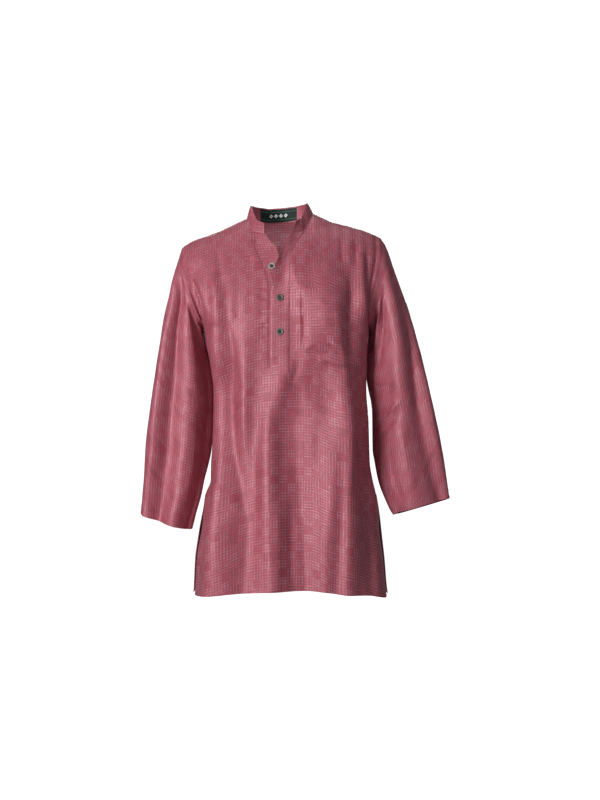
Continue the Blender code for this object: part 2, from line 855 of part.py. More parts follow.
def sleeve(side, ring, ring_normals):
    """Outer and inner points of a sleeve, from the armhole to the open cuff, and the body's moves there."""
    chord = ring[YOKE_ROWS] - ring[0]
    share = np.clip((ring - ring[0]) @ chord / (chord @ chord), 0.0, 1.0)
    angles = np.arccos(1 - 2 * share)
    angles[YOKE_ROWS + 1 :] = 2 * math.pi - angles[YOKE_ROWS + 1 :]
    fit = ring - sleeve_ring(side, 0.0, angles)
    sections = []
    for along in np.linspace(0, 1, SLEEVE_ROWS + 1):
        fading = 1 - smooth(along / 0.3)
        sections.append(sleeve_ring(side, along, angles) + fit * fading)
    points = np.array(sections)
    normals = tube_normals(points, side)
    for row, along in enumerate(np.linspace(0, 1, SLEEVE_ROWS + 1)):
        points[row] += normals[row] * sleeve_fold_height(side, along, angles)[:, None]
    round_it = np.roll(points[0], -1, axis=0) - np.roll(points[0], 1, axis=0)
    away = square_to(points[1] - points[0], round_it)
    points[0] += away * ARMHOLE_GAP
    moves = tube_normals(points, side)
    body_moves, moves[0] = mitred(ring_normals, moves[0], away)
    return points, points - moves * BODY_CLOTH, body_moves


def fit_armhole(side, front, back, moves):
    """Cuts the panels' armhole edges to the mitre that the sleeve's seam has."""
    column = 0 if side == "right" else -1
    moves = moves.copy()
    moves[[0, YOKE_ROWS]] = in_side_plane(moves[[0, YOKE_ROWS]])
    front[1][: YOKE_ROWS + 1, column] = moves[: YOKE_ROWS + 1]
    back[1][: YOKE_ROWS + 1, column] = np.roll(moves[::-1], 1, axis=0)[: YOKE_ROWS + 1]


def tube_normals(points, side):
    """Outward normals of a tube given as rings of points."""
    along = np.gradient(points, axis=0)
    round_it = np.roll(points, -1, axis=1) - np.roll(points, 1, axis=1)
    turn = 1 if side == "right" else -1
    return unit(turn * np.cross(along, round_it))


def clear_scene():
    """Removes whatever the scene holds."""
    for thing in list(bpy.data.objects):
        bpy.data.objects.remove(thing, do_unlink=True)


def collar_seam(front, back):
    """The collar's seam, from the wearer's right front end round the neck to the left one."""
    neck = NECK_COLUMNS + SHOULDER_COLUMNS
    points = [front[0][0, SHOULDER_COLUMNS : neck + 1][::-1]]
    normals = [front[1][0, SHOULDER_COLUMNS : neck + 1][::-1]]
    inside = slice(SHOULDER_COLUMNS, SHOULDER_COLUMNS + BACK_NECK_COLUMNS - 1)
    points.append(back[0][0, inside])
    normals.append(back[1][0, inside])
    points.append(front[0][0, -neck - 1 : -SHOULDER_COLUMNS][::-1])
    normals.append(front[1][0, -neck - 1 : -SHOULDER_COLUMNS][::-1])
    points[0][-1, 1] = points[2][0, 1] = 0.0
    ends = []
    for side, lift in (("right", "under_lift"), ("left", "over_lift")):
        x, z = COLLAR_END[side]
        drop = drop_at(x, z, "front")
        at = panel_surface(np.array([x]), np.array([drop]), "front")
        at[:, 1] -= PLACKET.read(lift, z)
        ends.append((at, panel_normal(np.array([x]), np.array([drop]), "front")))
    points = np.concatenate([ends[0][0], *points, ends[1][0]])
    normals = np.concatenate([ends[0][1], *normals, ends[1][1]])
    return points, normals


def collar(front, back):
    """Outer and inner points of the collar, and the mitre that it shares with the panels' neck edges."""
    seam, seam_normals = collar_seam(front, back)
    length = np.concatenate([[0], np.cumsum(np.linalg.norm(np.diff(seam, axis=0), axis=1))])
    along = length / length[-1]
    lift = np.stack([COLLAR_TOP.read(name, along) for name in ("right_left", "out_in", "rise")], axis=-1)
    normals = unit(np.cross(lift, np.gradient(seam, axis=0)))
    mitre = unit(normals + seam_normals)
    for neck_point in (NECK_COLUMNS + 1, NECK_COLUMNS + BACK_NECK_COLUMNS + 1):
        mitre[neck_point] = in_side_plane(mitre[neck_point])
    mitre /= np.maximum(np.sum(mitre * normals, axis=-1), 0.5)[:, None]
    start = seam + square_to(lift, np.gradient(seam, axis=0)) * COLLAR_GAP
    outer = np.array([blend(start, seam + lift, t) for t in np.linspace(0, 1, COLLAR_ROWS + 1)])
    inner = outer - normals * COLLAR_CLOTH
    inner[0] = start - mitre * COLLAR_CLOTH
    return outer, inner, mitre


def fit_neck(front, back, mitre):
    """Cuts the panels' neck edges to the mitre that the collar's seam has."""
    right, left = mitre[1 : NECK_COLUMNS + 2], mitre[-NECK_COLUMNS - 2 : -1]
    seam_right = SHOULDER_COLUMNS + NECK_COLUMNS
    seam_left = seam_right + SLOT_COLUMNS
    front[1][0, SHOULDER_COLUMNS : seam_right + 1] = right[::-1]
    front[1][0, seam_left : seam_left + NECK_COLUMNS + 1] = left[::-1]
    behind = slice(NECK_COLUMNS + 1, NECK_COLUMNS + BACK_NECK_COLUMNS + 2)
    back[1][0, SHOULDER_COLUMNS - 1 : SHOULDER_COLUMNS + BACK_NECK_COLUMNS] = mitre[behind]


def on_front(x, z, out):
    """Points over the front at these places, moved out by a distance."""
    drop = drop_at(x, z, "front")
    return panel_surface(x, drop, "front") + panel_normal(x, drop, "front") * out


def band_face(which, across, z):
    """The outer face of a placket band, from its free edge (0) to the edge that its seam holds (1)."""
    side, tuck, out = BAND_SEAT[which]
    free = PLACKET.read(which + "_edge", z)
    x = blend(free, PLACKET.read("seam_" + side, z) + tuck, across)
    points = on_front(x, z, out)
    loose = np.clip(1 - across / BAND_LOOSE, 0.0, 1.0) ** 1.3
    points[..., 1] -= PLACKET.read(which + "_lift", z) * loose
    return points


def band(which):
    """Outer and inner points of a placket band: the over band is on the front, the under band behind it."""
    side = BAND_SEAT[which][0]
    across = np.linspace(0, 1, BAND_COLUMNS + 1)[None, :]
    down = np.linspace(0, 1, BAND_ROWS + 1)[:, None]
    head = blend(COLLAR_END[side][1], SEAM_HEAD[side] - BAND_HEAD[which], across) - BAND_HEAD[which]
    z = blend(head, PLACKET_FOOT - BAND_TUCK, down)
    points = band_face(which, across + 0 * z, z)
    if which == "under":
        points = points[:, ::-1]
    return points, points - grid_normals(points, 1) * BAND_CLOTH


def grid_normals(points, turn):
    """Normals of an open grid of points."""
    return unit(turn * np.cross(np.gradient(points, axis=0), np.gradient(points, axis=1)))


def where_line_meets(line, axis, value):
    """The point of a line of points at which one of its coordinates has this value."""
    order = np.argsort(line[:, axis])
    return np.array([np.interp(value, line[order, axis], line[order, k]) for k in range(3)])


def pocket(front):
    """The chest pocket: the front's own facets moved out, cut to the pocket's outline."""
    first = SHOULDER_COLUMNS + NECK_COLUMNS + SLOT_COLUMNS
    patch = np.s_[POCKET_ROWS[0] : POCKET_ROWS[1], first : first + POCKET_COLUMNS]
    points, moves = front[0][patch], front[1][patch]
    lining = points + moves * POCKET_GAP
    made = wall("chest_pocket", lining + moves * BODY_CLOTH, lining, "rose_cloth")
    near, far = points[..., 1].min() - CUTTER_PAST, points[..., 1].max() + CUTTER_PAST
    mesh = bmesh.new()
    outline = [mesh.verts.new((x * MM, near * MM, z * MM)) for x, z in POCKET_OUTLINE]
    drawn = bmesh.ops.extrude_face_region(mesh, geom=[mesh.faces.new(outline)])["geom"]
    moved = [item for item in drawn if isinstance(item, bmesh.types.BMVert)]
    bmesh.ops.translate(mesh, vec=(0.0, (far - near) * MM, 0.0), verts=moved)
    bmesh.ops.recalc_face_normals(mesh, faces=mesh.faces)
    cutter = place("pocket_outline", mesh, "rose_cloth")
    cutter.hide_render = True
    cutter.display_type = "WIRE"
    cut = made.modifiers.new("outline", "BOOLEAN")
    cut.operation = "INTERSECT"
    cut.solver = "EXACT"
    cut.object = cutter


def label(collar_inner):
    """Outer and inner points of the neck label, which lies on the inside of the collar's back."""
    behind = slice(NECK_COLUMNS + 1, NECK_COLUMNS + BACK_NECK_COLUMNS + 2)
    lines = collar_inner[:, behind]
    foot = blend(lines[0], lines[1], LABEL["foot"] * 2)
    top = blend(lines[1], lines[2], LABEL["top"] * 2 - 1)
    strips = []
    for line in (foot, lines[1], top):
        inside = line[(line[:, 0] > LABEL["right"] + 2) & (line[:, 0] < LABEL["left"] - 2)]
        ends = [where_line_meets(line, 0, LABEL[side]) for side in ("right", "left")]
        strips.append([ends[0], *inside, ends[1]])
    points = np.array(strips)
    normals = grid_normals(points, -1)
    return points + normals * (LABEL_GAP + LABEL_CLOTH), points + normals * LABEL_GAP


def turned_disc(name, profile, centre, axis, finish):
    """Turns a closed profile of (radius, height) rows round an axis that points out of the garment."""
    axis = unit(np.asarray(axis, float))
    first = unit(np.cross(axis, (0.0, 0.0, 1.0)))
    second = np.cross(axis, first)
    turns = np.linspace(0, 2 * math.pi, BUTTON_SIDES, endpoint=False)[:, None]
    spokes = np.cos(turns) * first + np.sin(turns) * second
    mesh = bmesh.new()
    rings = []
    for radius, height in profile:
        at = centre + axis * height + radius * (spokes if radius else spokes[:1])
        rings.append([mesh.verts.new(point * MM) for point in at])
    for lower, upper in zip(rings, rings[1:]):
        for k in range(BUTTON_SIDES):
            n = (k + 1) % BUTTON_SIDES
            near = [lower[k % len(lower)], lower[n % len(lower)]]
            far = [upper[n % len(upper)], upper[k % len(upper)]]
            mesh.faces.new(list(dict.fromkeys(near + far)))
    bmesh.ops.recalc_face_normals(mesh, faces=mesh.faces)
    return place(name, mesh, finish)


def button(number, which, across, z):
    """One sewn-on button with a raised rim, seated on its band."""
    near = np.array([(across, z), (across + 0.1, z), (across, z + 4.0)])
    centre, beside, above = band_face(which, near[:, 0], near[:, 1])
    axis = unit(np.cross(beside - centre, above - centre))
    axis = axis if axis[1] < 0 else -axis
    profile = [(r * BUTTON_RADIUS, h * BUTTON_THICKNESS) for r, h in BUTTON_PROFILE]
    turned_disc(f"button_{number}", profile, centre + axis * BUTTON_SEAT, axis, "horn_button")


def main():
    """Builds the garment."""
    clear_scene()
    front, back = panel("front"), panel("back")
    outer, inner, mitre = collar(front, back)
    fit_neck(front, back, mitre)
    for side in ("right", "left"):
        points, lining, moves = sleeve(side, *armhole_ring(side, front, back))
        wall("sleeve_" + side, points, lining, "rose_cloth", turned=side == "left", tube=True)
        fit_armhole(side, front, back, moves)
    slot = SHOULDER_COLUMNS + NECK_COLUMNS
    kept = np.ones((len(front[0]) - 1, front[0].shape[1] - 1), bool)
    kept[: YOKE_ROWS + CHEST_ROWS, slot : slot + SLOT_COLUMNS] = False
    wall("front_panel", front[0], front[0] - front[1] * BODY_CLOTH, "rose_cloth", kept=kept)
    wall("back_panel", back[0], back[0] - back[1] * BODY_CLOTH, "rose_cloth", turned=True)
    wall("collar_band", outer, inner, "rose_cloth")
    wall("neck_label", *label(inner), "label_green", turned=True)
    wall("placket_over", *band("over"), "rose_cloth")
    wall("placket_under", *band("under"), "rose_cloth")
    pocket(front)
    for number, seat in enumerate(BUTTONS, 1):
        button(number, *seat)


main()
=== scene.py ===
"""Dresses the kurta tunic: fine cloth shells on the form of the solids, with stitching, buttons and a
label, under soft studio light.

The front faces -Y, +X is the wearer's left and +Z is up. Sizes are in millimetres, as a cutter gives
them, and become metres where a mesh is made.
"""

import logging
import math
from collections.abc import Callable
from dataclasses import dataclass, field, replace
from enum import Enum
from typing import Any

import bmesh
import bpy
import numpy as np
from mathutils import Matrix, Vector


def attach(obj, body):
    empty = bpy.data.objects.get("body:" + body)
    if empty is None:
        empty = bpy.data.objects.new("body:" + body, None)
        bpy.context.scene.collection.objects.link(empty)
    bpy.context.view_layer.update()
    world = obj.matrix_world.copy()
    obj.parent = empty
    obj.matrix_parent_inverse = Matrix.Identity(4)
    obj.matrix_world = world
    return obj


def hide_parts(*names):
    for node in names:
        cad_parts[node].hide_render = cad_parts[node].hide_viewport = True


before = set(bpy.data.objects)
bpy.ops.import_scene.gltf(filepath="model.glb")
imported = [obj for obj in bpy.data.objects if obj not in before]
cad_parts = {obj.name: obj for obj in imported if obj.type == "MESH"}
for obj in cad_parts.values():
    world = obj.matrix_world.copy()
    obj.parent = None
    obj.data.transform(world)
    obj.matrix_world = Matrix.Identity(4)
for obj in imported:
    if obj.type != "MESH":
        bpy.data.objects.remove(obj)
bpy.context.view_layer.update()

Array = np.ndarray
Line = tuple[Array, Array]
Place = tuple[float, float]
Spot = tuple[float, float, float]
Colour = Spot
Finish = bpy.types.Material
Piece = bpy.types.Object
MM = 0.001
TURN = 2 * math.pi
BODY = "root"
LOG = logging.getLogger("kurta")


class Face(Enum):
    """The two halves of the body."""

    FRONT = "front"
    BACK = "back"


class Side(Enum):
    """The wearer's sides."""

    RIGHT = "right"
    LEFT = "left"


class Band(Enum):
    """The placket's bands: the right side's seam holds the under one, the left side's the over one."""

    UNDER = "under"
    OVER = "over"


class Edge(Enum):
    """The four edges of a piece's grid of points."""

    TOP = "top"
    FOOT = "foot"
    FIRST = "first"
    LAST = "last"


class Hold(Enum):
    """How a sheet of cloth is held."""

    HUNG = "hung"
    LAID = "laid"


def pair(first: Any, second: Any, kind: type[Enum] = Side) -> Any:
    """Makes a dataclass field with a value for the right and the left, or for a kind's two options."""
    return field(default_factory=lambda: dict(zip(kind, (first, second))))


# ---- small geometry


def smooth(t: Array) -> Array:
    """Rises from 0 at 0 to 1 at 1 with level ends."""
    t = np.clip(t, 0.0, 1.0)
    return t * t * (3 - 2 * t)


def bell(away: Any, width: Any) -> Array:
    """Falls off evenly from 1 at 0, by a width to either side."""
    return np.exp(-((away / width) ** 2))


def unit(vectors: Array) -> Array:
    """Scales vectors, along the last axis, to length one."""
    return vectors / np.maximum(np.linalg.norm(vectors, axis=-1, keepdims=True), 1e-9)


def blend(a: Any, b: Any, t: Any) -> Any:
    """Finds what lies the fraction t of the way from a to b."""
    return a + (b - a) * t


def join(*parts: Array) -> Array:
    """Joins coordinates into points."""
    return np.stack(parts, axis=-1)


def crowded(start: float, end: float, count: int) -> Array:
    """Spaces count + 1 places from start to end, closer together near the start."""
    return blend(start, end, np.linspace(0, 1, count + 1) ** 1.5)


def coons(start: Array, end: Array, top: Array, foot: Array) -> Array:
    """Fills four edges that share their corners.

    Args:
        start: The edge down the first column.
        end: The edge down the last column.
        top: The edge along the first row.
        foot: The edge along the last row.

    Returns:
        A grid of points with rows down and columns across.
    """
    down = np.linspace(0, 1, len(start))[:, None, None]
    over = np.linspace(0, 1, len(top))[None, :, None]
    corners = blend(blend(top[0], top[-1], over), blend(foot[0], foot[-1], over), down)
    return blend(start[:, None], end[:, None], over) + blend(top[None, :], foot[None, :], down) - corners


def grid_normals(points: Array, turned: bool = False) -> Array:
    """Finds a grid's outward unit normals, on its other side if it is turned."""
    cross = np.cross(np.gradient(points, axis=0), np.gradient(points, axis=1))
    return unit(-cross if turned else cross)


def run_length(points: Array, axis: int) -> Array:
    """Measures to each point down a grid's columns (0) or along its rows (1)."""
    steps = np.linalg.norm(np.diff(points, axis=axis), axis=-1)
    return np.cumsum(np.concatenate([0 * np.take(steps, [0], axis=axis), steps], axis=axis), axis=axis)


def circle(count: int) -> Array:
    """Spaces angles evenly round a circle."""
    return np.linspace(0, TURN, count, endpoint=False)


def skin(rings: int, sides: int, next_ring: Array | None = None) -> Array:
    """Lists the four-sided faces between rings of points.

    Args:
        rings: How many rings start a row of faces.
        sides: How many points a ring has.
        next_ring: The ring that each row of faces ends at, or None for the one after.

    Returns:
        The points' numbers, one row for each face.
    """
    ring, side = np.meshgrid(np.arange(rings), np.arange(sides), indexing="ij")
    after = (ring + 1 if next_ring is None else next_ring[ring]) * sides
    beside = (side + 1) % sides
    return join(ring * sides + side, ring * sides + beside, after + beside, after + side).reshape(-1, 4)


class SizeTable:
    """Rows with named columns, read smoothly at any place along the first column."""

    def __init__(self, names: str, *rows: tuple[float, ...]) -> None:
        """Keeps the rows.

        Args:
            names: The columns' names, the first of which is the place.
            rows: One tuple of sizes for each place.
        """
        columns = np.array(sorted(rows), float).T
        self.place = columns[0]
        self.values = dict(zip(names.split()[1:], columns[1:]))

    def read(self, name: str, at: Any) -> Array:
        """Reads a column on a cubic that never overshoots its rows.

        Args:
            name: The column.
            at: Places along the table.

        Returns:
            The column's value at each place.
        """
        place, value = self.place, self.values[name]
        at = np.clip(at, place[0], place[-1])
        step = np.diff(place)
        slope = np.diff(value) / step
        before, after = slope[:-1], slope[1:]
        inner = np.where(before * after > 0, 2 * before * after / (before + after + 1e-12), 0.0)
        tangent = np.concatenate([slope[:1], inner, slope[-1:]])
        cell = np.clip(np.searchsorted(place, at, side="right") - 1, 0, len(step) - 1)
        t = (at - place[cell]) / step[cell]
        return (
            value[cell] * (1 + 2 * t) * (1 - t) ** 2
            + tangent[cell] * step[cell] * t * (1 - t) ** 2
            + value[cell + 1] * t**2 * (3 - 2 * t)
            - tangent[cell + 1] * step[cell] * t**2 * (1 - t)
        )


@dataclass(frozen=True)
class Crease:
    """A soft crease: a bowed line whose height fades towards both ends. A trough is below zero."""

    x: float
    z: float
    to_x: float
    to_z: float
    height: float
    width: float
    bow: float
    fade: float = 0.35

    def scaled(self, across: float, down: float) -> "Crease":
        """Stretches the crease's line, but not its height and width."""
        x, to_x, z, to_z = self.x * across, self.to_x * across, self.z * down, self.to_z * down
        return replace(self, x=x, z=z, to_x=to_x, to_z=to_z)

    def rise(self, across: Array, down: Array) -> Array:
        """Finds how far the crease lifts the cloth.

        Args:
            across: Places across the piece.
            down: Places down the piece.

        Returns:
            The lift at each place.
        """
        run_x, run_z = self.to_x - self.x, self.to_z - self.z
        length = float(np.hypot(run_x, run_z))
        t = ((across - self.x) * run_x + (down - self.z) * run_z) / length**2
        off = ((down - self.z) * run_x - (across - self.x) * run_z) / length - self.bow * 4 * t * (1 - t)
        return self.height * bell(off, self.width) * (smooth(t / self.fade) * smooth((1 - t) / self.fade))


def ripple(across: Array, down: Array, seed: int, height: float, count: int = 14) -> Array:
    """Makes the faint unevenness of cloth on its wearer from a few long waves.

    Args:
        across: Places across the piece.
        down: Places down the piece.
        seed: Which set of waves to use.
        height: The size of a typical swell.
        count: How many waves are added up.

    Returns:
        The lift at each place.
    """
    chance = np.random.default_rng(seed)
    total = np.zeros(np.shape(across))
    for _ in range(count):
        length, lean, phase = chance.uniform(26, 80), chance.normal(0, 0.5), chance.uniform(0, TURN)
        bend = 6 * np.sin(down / chance.uniform(50, 110) + phase)
        along = math.cos(lean) * (across + bend) + 0.45 * math.sin(lean) * down
        total = total + np.sin(TURN / length * along + phase)
    return height * total / math.sqrt(count)


def tables(names: str, *groups: tuple[tuple[float, ...], ...]) -> tuple[SizeTable, ...]:
    """Makes a table of each group of rows, such as a fold's, whose place and height change along it."""
    return tuple(SizeTable(names, *rows) for rows in groups)


def creases(*rows: tuple[float, ...]) -> tuple[Crease, ...]:
    """Makes creases from rows of x, z, to_x, to_z, height, width and bow."""
    return tuple(Crease(*row) for row in rows)


# ---- the body's cut and form

BODY_FOLD = "z x height right left"
LARGE_FOLDS: dict[Face, tuple[SizeTable, ...]] = {
    Face.FRONT: tables(
        BODY_FOLD,
        ((-80, -146, 0, 16, 12), (-150, -149, 8, 16, 14), (-250, -142, 14, 22, 18),
         (-330, -141, 14, 26, 20), (-420, -138, 0, 24, 18)),
        ((-240, -80, 0, 22, 20), (-360, -80, 10, 18, 18), (-480, -82, 11, 17, 18),
         (-640, -104, 8, 42, 27), (-760, -132, 17, 34, 42), (-900, -122, 12, 36, 30)),
        ((-330, 26, 0, 35, 20), (-400, 4, 11, 34, 22), (-470, -19, 12, 26, 25),
         (-560, -25, 17, 22, 27), (-700, -23, 22, 27, 31), (-900, -16, 23, 36, 34)),
        ((-420, 138, 0, 42, 21), (-520, 132, 17, 32, 34), (-700, 116, 17, 28, 28), (-900, 104, 9, 28, 18)),
        ((-90, 118, 0, 33, 24), (-160, 123, 12, 52, 30), (-230, 125, 15, 38, 25), (-310, 136, 12, 30, 18),
         (-400, 148, 17, 28, 24), (-520, 157, 20, 19, 21), (-700, 156, 20, 16, 30), (-900, 153, 18, 17, 28)),
        ((-420, 190, 0, 16, 18), (-560, 188, -7, 16, 20), (-760, 212, -8, 21, 23), (-900, 222, -4, 22, 24)),
        ((-480, -140, 0, 16, 18), (-600, -136, 13, 16, 18), (-720, -146, 16, 18, 23),
         (-900, -162, 15, 18, 28)),
        ((-330, -116, 0, 20, 28), (-400, -122, -12, 18, 26), (-480, -120, -14, 20, 30),
         (-560, -106, -12, 22, 36), (-640, -88, -10, 26, 34), (-720, -72, -8, 28, 24),
         (-900, -88, -6, 26, 25)),
        ((-28, 30, 0, 20, 80), (-70, 26, 13, 18, 84), (-120, 30, 15, 22, 76), (-190, 60, 13, 34, 54),
         (-290, 88, 9, 38, 42), (-380, 70, 0, 36, 48)),
        ((-400, 38, 0, 30, 26), (-500, 28, -8, 28, 30), (-640, 44, -10, 34, 42), (-780, 58, -10, 34, 32),
         (-900, 62, -10, 36, 34)),
        ((-640, -155, 0, 10, 12), (-690, -163, -6, 10, 12), (-790, -182, -5, 10, 12),
         (-850, -188, 0, 10, 12)),
    ),
    Face.BACK: tables(
        BODY_FOLD,
        ((-120, -120, 0, 22, 26), (-260, -118, 7, 24, 28), (-420, -112, 9, 24, 28),
         (-640, -118, 11, 26, 30), (-900, -126, 15, 28, 32)),
        ((-200, -30, 0, 26, 22), (-380, -34, 8, 28, 24), (-600, -40, 12, 30, 26), (-900, -48, 17, 32, 28)),
        ((-260, 52, 0, 24, 26), (-420, 50, 7, 24, 28), (-640, 48, 10, 26, 30), (-900, 44, 14, 28, 32)),
        ((-110, 132, 0, 26, 22), (-240, 134, 8, 28, 22), (-420, 128, 10, 28, 24), (-640, 134, 13, 30, 26),
         (-900, 142, 17, 32, 28)),
        ((-520, 196, 0, 18, 18), (-700, 204, 7, 20, 20), (-900, 214, 10, 22, 22)),
        ((-560, -166, 0, 16, 16), (-720, -176, 6, 18, 18), (-900, -184, 8, 20, 20)),
    ),
}

# Small creases, placed across and up the front and the back as seen from the front.
SMALL_CREASES: dict[Face, tuple[Crease, ...]] = {
    Face.FRONT: creases(
        (-154, -50, -136, -190, -3.4, 8, 4), (-186, -58, -170, -200, 2.2, 11, 5),
        (-196, -128, -158, -262, 5.0, 9, 3), (-206, -140, -170, -288, -8.0, 5.0, 3),
        (-112, -150, -96, -330, 1.6, 10, -4), (-122, -230, -104, -420, -2.0, 7, 5),
        (-158, -196, -160, -660, 5.5, 15, 2), (-118, -230, -112, -540, -6.0, 15, 2),
        (-116, -440, -84, -730, -6.5, 15, 4), (-3, -640, -2, -905, 3.0, 9, 2),
        (25, -640, 26, -905, -3.5, 9, 2), (194, -130, 194, -380, 6.0, 22, 0),
        (141, -42, 144, -120, -2.2, 5, 1), (158, -46, 160, -128, 1.8, 6, 1),
        (176, -46, 177, -130, -2.6, 5, 2), (190, -56, 194, -262, 7.0, 11, -2),
        (204, -58, 199, -225, -2.8, 5, 2), (164, -110, 160, -270, -4.5, 10, 3),
        (-48, -176, -16, -170, -2.6, 3.8, 1), (-54, -196, -15, -192, -3.0, 4.0, -1),
        (-52, -233, -15, -226, -2.8, 3.8, 1), (-46, -262, -16, -258, -3.0, 3.6, 0.5),
        (-60, -300, -18, -288, -1.8, 4.5, 1), (46, -330, 4, -432, -3.6, 9, 6),
        (51.6, -170, 54.6, -324, -3.4, 2.2, 0), (56, -320, 152, -331, -2.4, 2.8, -1.5),
        (104, -300, 143, -326, -3.4, 4, -2), (114, -296, 150, -316, 2.0, 5, -2),
        (60, -312, 84, -306, 1.8, 3.5, 2), (56, -316, 98, -344, -2.8, 4.5, 3),
        (96, -330, 150, -352, 3.0, 6, -3), (98, -342, 154, -366, -3.6, 5.5, -3),
        (30, -170, 44, -158, 1.2, 4, 0), (178, -640, 196, -760, -3.4, 7, 6),
        (-112, -640, -96, -706, 1.4, 8, 3), (-60, -520, -52, -780, -2.0, 9, 4),
        (44, -480, 52, -740, -1.8, 10, -5), (70, -700, 74, -905, 2.2, 11, 3),
        (-40, -760, -34, -905, -2.2, 8, 2), (20, -820, 22, -905, 1.6, 9, 1),
        (-206, -690, -196, -830, 1.8, 7, 3), (84, -200, 118, -236, 1.0, 7, 2),
        (-90, -70, -60, -130, -1.2, 8, 3), (80, -60, 58, -120, 1.3, 8, -3),
        (-30, -440, -66, -520, -1.2, 8, 4),
    ),
    Face.BACK: creases(
        (-176, -60, -150, -200, -2.8, 8, 6), (180, -46, 152, -190, -3.0, 8, -6),
        (-196, -200, -110, -252, 2.6, 8, -6), (-190, -226, -96, -292, -3.0, 7, -8),
        (214, -196, 122, -262, 2.8, 8, 7), (206, -226, 104, -306, -3.2, 7, 9),
        (-60, -48, 62, -50, -2.0, 8, 7), (-96, -64, 92, -70, 1.6, 10, 10),
        (-20, -120, -34, -330, 1.8, 10, 5), (76, -140, 88, -330, -2.0, 9, -5),
        (-146, -420, -96, -520, -2.0, 8, 5), (170, -430, 112, -540, -2.2, 8, -6),
        (-10, -560, 4, -830, -2.2, 9, 4), (90, -600, 94, -905, -2.4, 9, 3),
        (-84, -640, -86, -905, -2.2, 8, 4), (-150, -700, -158, -905, -2.0, 8, 2),
        (180, -660, 178, -905, -2.0, 9, 2), (10, -760, -2, -905, 1.8, 9, 1),
    ),
}


